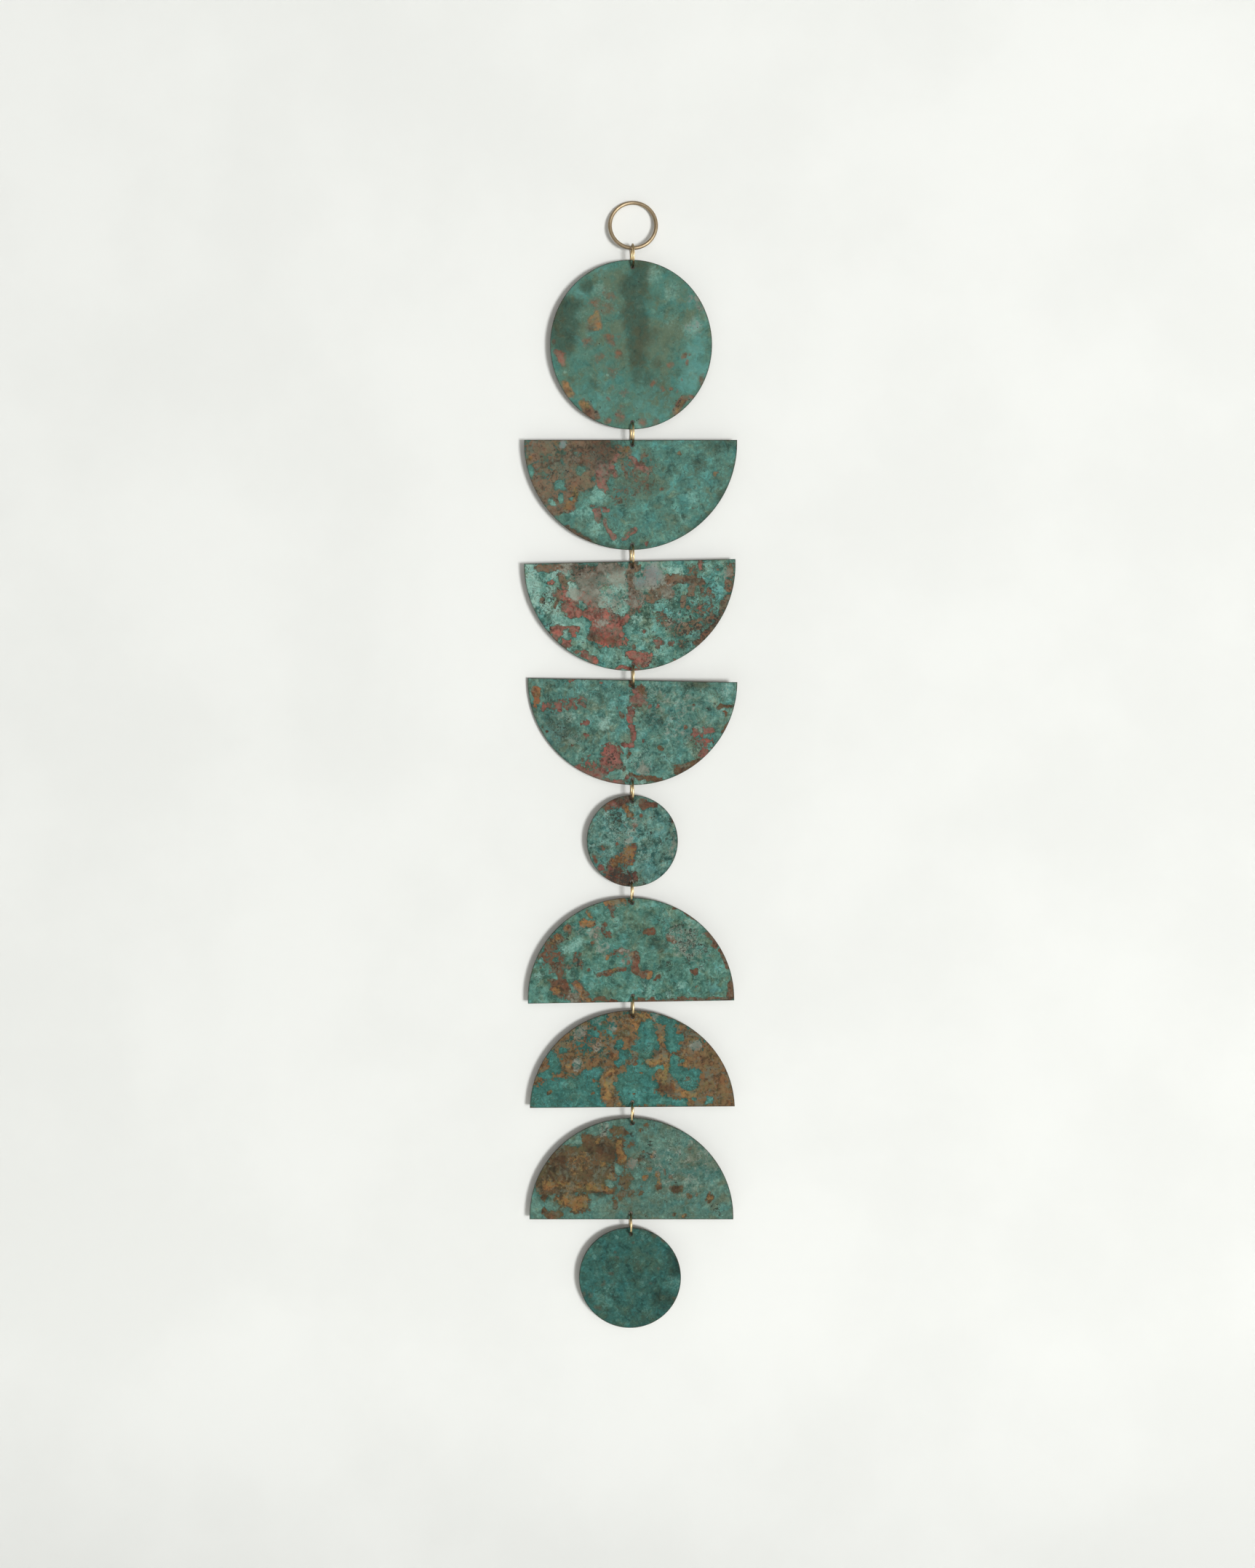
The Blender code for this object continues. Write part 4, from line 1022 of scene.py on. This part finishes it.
make_plate(
    "lower_dome", dome_net, steps=170, seed=800,
    tones=dict(Deep=(54, 88, 78), Body=(80, 110, 98), Light=(100, 138, 124), Brown=(88, 70, 44),
        Ochre=(124, 94, 52), Copper=(134, 90, 72), Softness=0.15, Contrast=0.65, Cover=0.95, Line=0.35,
        Dust=0.85),
    brown=[(-14, -4, 8, 0.62), (-4, 2, 7, 0.5), (0, -9, 6, 0.55), (6, 4, 4, 0.5), (-20, 15, 4, 0.7),
        (-36, 9, -31, 10.5, 2.4), (-38, 5, -20, 8, 4.8), (-42, -3, -15, -2, 7.5),
        (-44, -9.5, -12, -9.5, 4), (-22, 14, -10, 13, 3.8), (-8, 19.5, -3, 18, 2),
        (-5.5, 13, -5, 5, 2.6), (-13, 8, 5), (-33, -16, -23, -18, 4.2), (-28, -21.5, 2),
        (-43, -22, -37, -24, 2.3), (-43, -14.5, 2.3), (-3.5, -5.5, 3, 0.85), (-5, -13, 3, 0.75),
        (-8.7, -18, -9, -20, 1.8, 0.9), (5.5, -13.2, 1.5, 0.85), (-1, -12, 1.6, 0.6),
        (8.5, 0.2, 1.6, 0.85), (13, -9, 2, 0.9), (21, -9.5, 25, -10.5, 2), (20, -5, 1.1, 0.9),
        (29, -13, 1.2, 0.85), (33, -12.5, 0.9, 0.7), (38.7, -13, 38.7, -15, 1.4, 0.9),
        (16.5, 0.5, 17, -2, 0.8, 0.9), (5, 20, 1.4, 0.6), (7, 23.8, 1.4, 0.7), (0.5, 24, 1.2, 0.9),
        (26.5, -24.8, 1.2, 0.9), (21.5, -24, 1.1, 0.9), (0, 12, 2.2, 0.7), (29, 10, 2, 0.5),
        (-10, -16, 1.5, 0.7)],
    ochre=[(-6, 12.5, -5, 6, 1.9, 0.9), (-26, 3, 5.5, 0.5), (-33, -16, -24, -18, 3.4, 0.8),
        (-43, -7.5, -30, -9.5, 2.2, 0.65), (-30, -9.5, -20, -8, 2.4, 0.6),
        (-20, -8.5, -12, -11.5, 2, 0.75), (-10, -3.5, 1.9, 0.9), (-28, -21.5, 1.5, 0.8),
        (10.5, 7.3, 1.4, 0.8), (6, -5, 1.6, 0.9), (12.5, -2, 13.5, -6.5, 1.5, 0.85), (-14, 3, 1.6, 0.8),
        (-17, 13, 2, 0.6), (38.7, -13.5, 1.2, 0.8), (26, -24.8, 1, 0.8), (8.5, 0.2, 1.3, 0.8)],
    copper=[(10.5, 7.3, 1.3, 0.6), (16.8, 0, 0.9, 0.7), (-39, -24, 2, 0.4)],
    smoke=[(-15, 10, -9, 8, 3.2, 0.8), (-18, -13, -11, -12.5, 1.2), (-44.5, -14, -41, -15, 1.1),
        (-33, 5, -34, -1, 1.2, 0.8), (21, -9.5, 24, -11, 1.8, 0.9), (-20, 10, 3, 0.6), (-38, 4, 3, 0.4),
        (14, -9, 1.4, 0.6), (-23, -7, 2, 0.5), (-3, 18, 1.5, 0.6), (0, -22.5, 1.2, 0.6),
        (-42, 2, -41, -3, 0.5, 1.25), (-41, -3, -38, -8, 0.5, 1.25), (-38, -8, -35, -9.5, 0.5, 1.25),
        (-39.5, 3, -36, 5, 0.5, 1.2), (-36, 5, -34.5, 2.5, 0.5, 1.2), (-38.8, -1, -36.5, 1, 0.45, 1.2),
        (-38.8, -1, -37.5, -5, 0.45, 1.2), (-34.5, -1, -33, -5.5, 0.5, 1.2),
        (-34.5, -1, -31.5, 0, 0.45, 1.1), (-31.5, 0, -29.5, -4, 0.45, 1.2),
        (-29.5, -4, -31, -7.5, 0.45, 1.1), (-35.5, -7, -33, -8.5, 0.45, 1.1),
        (-27.5, -6, -26, -9, 0.45, 1.0), (-43.5, -2, -42.5, -7, 0.5, 1.0), (-33, 5, -34, -1, 0.8, 0.8)],
    islands=[(-40.5, -19, 2.2), (-11.5, -7.5, 1.9), (-6.5, 0.5, 1.9), (-26, 14, 2.1), (-19.5, 18.5, 2),
        (-48, -18.5, 3.3), (-16, -17, 4), (-14, -21, 4), (2, -8, 2.2), (6.5, 2.5, 1.8), (3, -3, 2)],
    grey=[(0.5, 3, 2.3, 0.9), (-14, 19.5, 3.2, 0.6), (30, 2, 14, 0.25), (12, 3, 6, 0.35)],
    specks=[(-14, 19.5, 3.4, 0.8), (0.5, 17.5, 2.3, 0.85), (9, 13.5, 1.8, 0.85),
        (18.5, 7, 18.5, 3, 1.4, 0.7), (20, 12, 8, 0.25), (8, 5, 6, 0.4), (24, -6, 4, 0.5),
        (42, -21, 4, 0.6), (7.2, -25, 0.8), (29.5, 16.3, 0.8), (21.5, -24, 1, 0.9), (-38, -20, 3, 0.3),
        (16, -17, 2, 0.4)],
    pale=[(-11.5, -7.5, 1.6, 0.6), (-6.5, 0.5, 1.7, 0.6), (18.5, 5, 1.5, 0.7), (-14, 19, 2.5, 0.5),
        (27, -8, 3, 0.5), (-26, 14, 2, 0.5), (20, 15, 8, 0.3), (33, -8, 3, 0.4)],
    blue=[(-48, -19, 3, 0.5), (-40.5, -19, 2, 0.5), (36, -16, 8, 0.35), (17, -12, 4, 0.5),
        (-16, -18, 4, 0.3), (8, 20, 5, 0.3)],
    olive=[(35, 6, 8, 0.3), (29, 10, 3, 0.6), (-8, -22, 5, 0.4), (0, -21, 6, 0.35)],
)

# ---------------------------------------------------------------- end disc
# The disc at the foot, drilled at its top only. Its film is smooth, deep green and little worn,
# with soft brown stains and small bare flecks.

make_plate(
    "end_disc", disc_net, steps=85, seed=900,
    tones=dict(Deep=(30, 64, 58), Body=(50, 91, 83), Light=(70, 116, 106), Brown=(78, 66, 48),
        Ochre=(100, 82, 54), Copper=(100, 72, 62), Softness=0.4, Contrast=0.65, Cover=0.7, Line=0.0,
        Dust=0.5),
    brown=[(12, 22.2, 1.1), (15, 19.9, 17, 19.5, 1), (2, 19, 1.2, 0.62), (-7, 12.8, 1.2, 0.6),
        (-6.2, 9.7, 1.2, 0.62), (-9, 2.7, 1.4, 0.6), (-13, -3, 1.4, 0.55), (-8.5, -3.5, 1.1, 0.58),
        (-19, -9, 1.5, 0.65), (-23.3, -8.5, 1.5, 0.65), (-16, -16.3, 1.4, 0.7), (22, -11.5, 1.6, 0.65),
        (9.7, -3.5, 1, 0.6), (15, 5, 1.2, 0.55), (3.5, 8, 5.5, 5.5, 1.4, 0.5)],
    olive=[(6, 13, 3, 0.7), (4, 7, 2.5, 0.5), (13, 13, 3.5, 0.6), (14, 5, 3.5, 0.6),
        (-9, 2.5, 2.5, 0.5), (-16, -16, 2, 0.5), (2, 8, 4, 0.3)],
    smoke=[(20, 12, 23, 4, 3.8, 0.8), (14, -8, 17, -14, 4.2, 0.6), (-1, 1, 6, 0.35), (7, -5, 7, 0.3),
        (5, -22, 5, 0.3), (-12, -22, 4, 0.3), (-18, -2, 3, 0.3)],
    pale=[(-7.5, 21, 1.1), (-17, 11.3, 1.2, 0.9), (-18.5, 13, 0.6, 0.8), (-15.5, 16.5, 0.8, 0.6),
        (7, 22, 3.5, 0.35), (21, 0, 23, -4, 2.6, 0.5), (5.5, -2.5, 1.8, 0.5), (-13, -12, 4, 0.4),
        (-10, -6, 3.5, 0.4), (8, -18, 3.5, 0.35), (6, -7.5, 1, 0.6), (-17, 2.5, 2, 0.4),
        (2.5, 10.5, 1.5, 0.4)],
    blue=[(-17, 11.3, 2, 0.7), (-13, -12, 4, 0.4), (2, -14, 4, 0.3), (-12, 17, 4, 0.25)],
)

# ---------------------------------------------------------------- wall, floor and lights
# A pale painted wall that runs down into a pale floor, a window-like lamp from the right, and
# soft light from the room.


def cove(name, material):
    """The wall and floor as one sheet: its section goes down the wall, round a quarter circle
    and out along the floor, and is the same all the way across."""
    wall_y, top_z, floor_z, bend, reach, steps = 0.00145, 1.6, -0.80, 0.25, 4.0, 24
    turn = np.linspace(0, math.pi / 2, steps)
    depth = np.concatenate(([wall_y], wall_y - bend * (1 - np.cos(turn)), [-reach]))
    level = np.concatenate(([top_z], floor_z + bend * (1 - np.sin(turn)), [floor_z]))
    across = np.linspace(-reach, reach, 3)
    y, x = np.meshgrid(depth, across, indexing="ij")
    z, _ = np.meshgrid(level, across, indexing="ij")
    points = np.stack((x, y, z), -1).reshape(-1, 3)
    number = np.arange(len(points)).reshape(x.shape)
    cells = np.stack((number[:-1, :-1], number[1:, :-1], number[1:, 1:], number[:-1, 1:]), -1)
    mesh = bpy.data.meshes.new(name)
    mesh.from_pydata(points.tolist(), [], cells.reshape(-1, 4).tolist())
    mesh.shade_smooth()
    mesh.materials.append(material)
    made = bpy.data.objects.new(name, mesh)
    scene.collection.objects.link(made)
    return made


wall_paint = bpy.data.materials.new("wall_paint")
wall_paint.use_nodes = True
tree = wall_paint.node_tree
shader = tree.nodes["Principled BSDF"]
shader.inputs["Roughness"].default_value = 0.9
shader.inputs["Specular IOR Level"].default_value = 0.1
place = add_node(tree, "TexCoord").outputs["Object"]
uneven = add_node(tree, "TexNoise", {"Vector": place, "Scale": 9.0, "Detail": 6.0}).outputs[0]
colour = blend(tree, ease(tree, uneven, 0.35, 0.65), (0.84, 0.845, 0.82, 1), (0.88, 0.885, 0.86, 1))
tree.links.new(colour, shader.inputs["Base Color"])
behind = add_node(tree, "NewGeometry").outputs["Backfacing"]
clear = add_node(tree, "BsdfTransparent").outputs[0]
seen = add_node(tree, "MixShader", {0: behind, 1: shader.outputs[0], 2: clear}).outputs[0]
tree.links.new(seen, tree.nodes["Material Output"].inputs["Surface"])
backdrop = cove("wall_and_floor", wall_paint)
backdrop.visible_shadow = False

MIDDLE = Vector((0, 0, -0.27))
WINDOW_SIDE = math.radians(24)
WINDOW_AWAY = 5.5
WINDOW_LEVEL = -0.46


def lamp(name, place, size, power, tint):
    """A round lamp, aimed at the middle of the hanging, that the camera doesn't see. Returns its
    light."""
    data = bpy.data.lights.new(name, "AREA")
    data.shape = "DISK"
    data.size = size
    data.energy = power
    data.color = tint
    made = bpy.data.objects.new(name, data)
    made.location = place
    made.rotation_euler = (Vector(place) - MIDDLE).to_track_quat("Z", "Y").to_euler()
    made.visible_camera = False
    scene.collection.objects.link(made)
    return data


side, away = WINDOW_AWAY * math.sin(WINDOW_SIDE), WINDOW_AWAY * math.cos(WINDOW_SIDE)
window_place = (side, -away, WINDOW_LEVEL)
lamp("window_light", window_place, size=1.2, power=199, tint=(0.985, 1.0, 1.0))
lamp("room_light", (0.5, -3.0, 0.7), size=2.6, power=20, tint=(1.0, 0.98, 0.93))
# The lamp behind shows the backs, and none of its light goes on from them to the wall.
back_light = lamp("back_light", (1.2, 2.8, 0.8), size=2.4, power=70, tint=(1.0, 1.0, 1.0))
back_light.cycles.max_bounces = 0

world = bpy.data.worlds.new("room")
scene.world = world
world.use_nodes = True
tree = world.node_tree
sky = tree.nodes["Background"]
sky.inputs["Color"].default_value = (1.0, 1.0, 1.0, 1.0)
sky.inputs["Strength"].default_value = 0.14
seen = add_node(tree, "Background", {"Color": (0.86, 0.865, 0.85, 1.0), "Strength": 1.0})
ray = add_node(tree, "LightPath").outputs["Is Camera Ray"]
both = add_node(tree, "MixShader", {0: ray, 1: sky.outputs[0], 2: seen.outputs[0]}).outputs[0]
tree.links.new(both, tree.nodes["World Output"].inputs["Surface"])
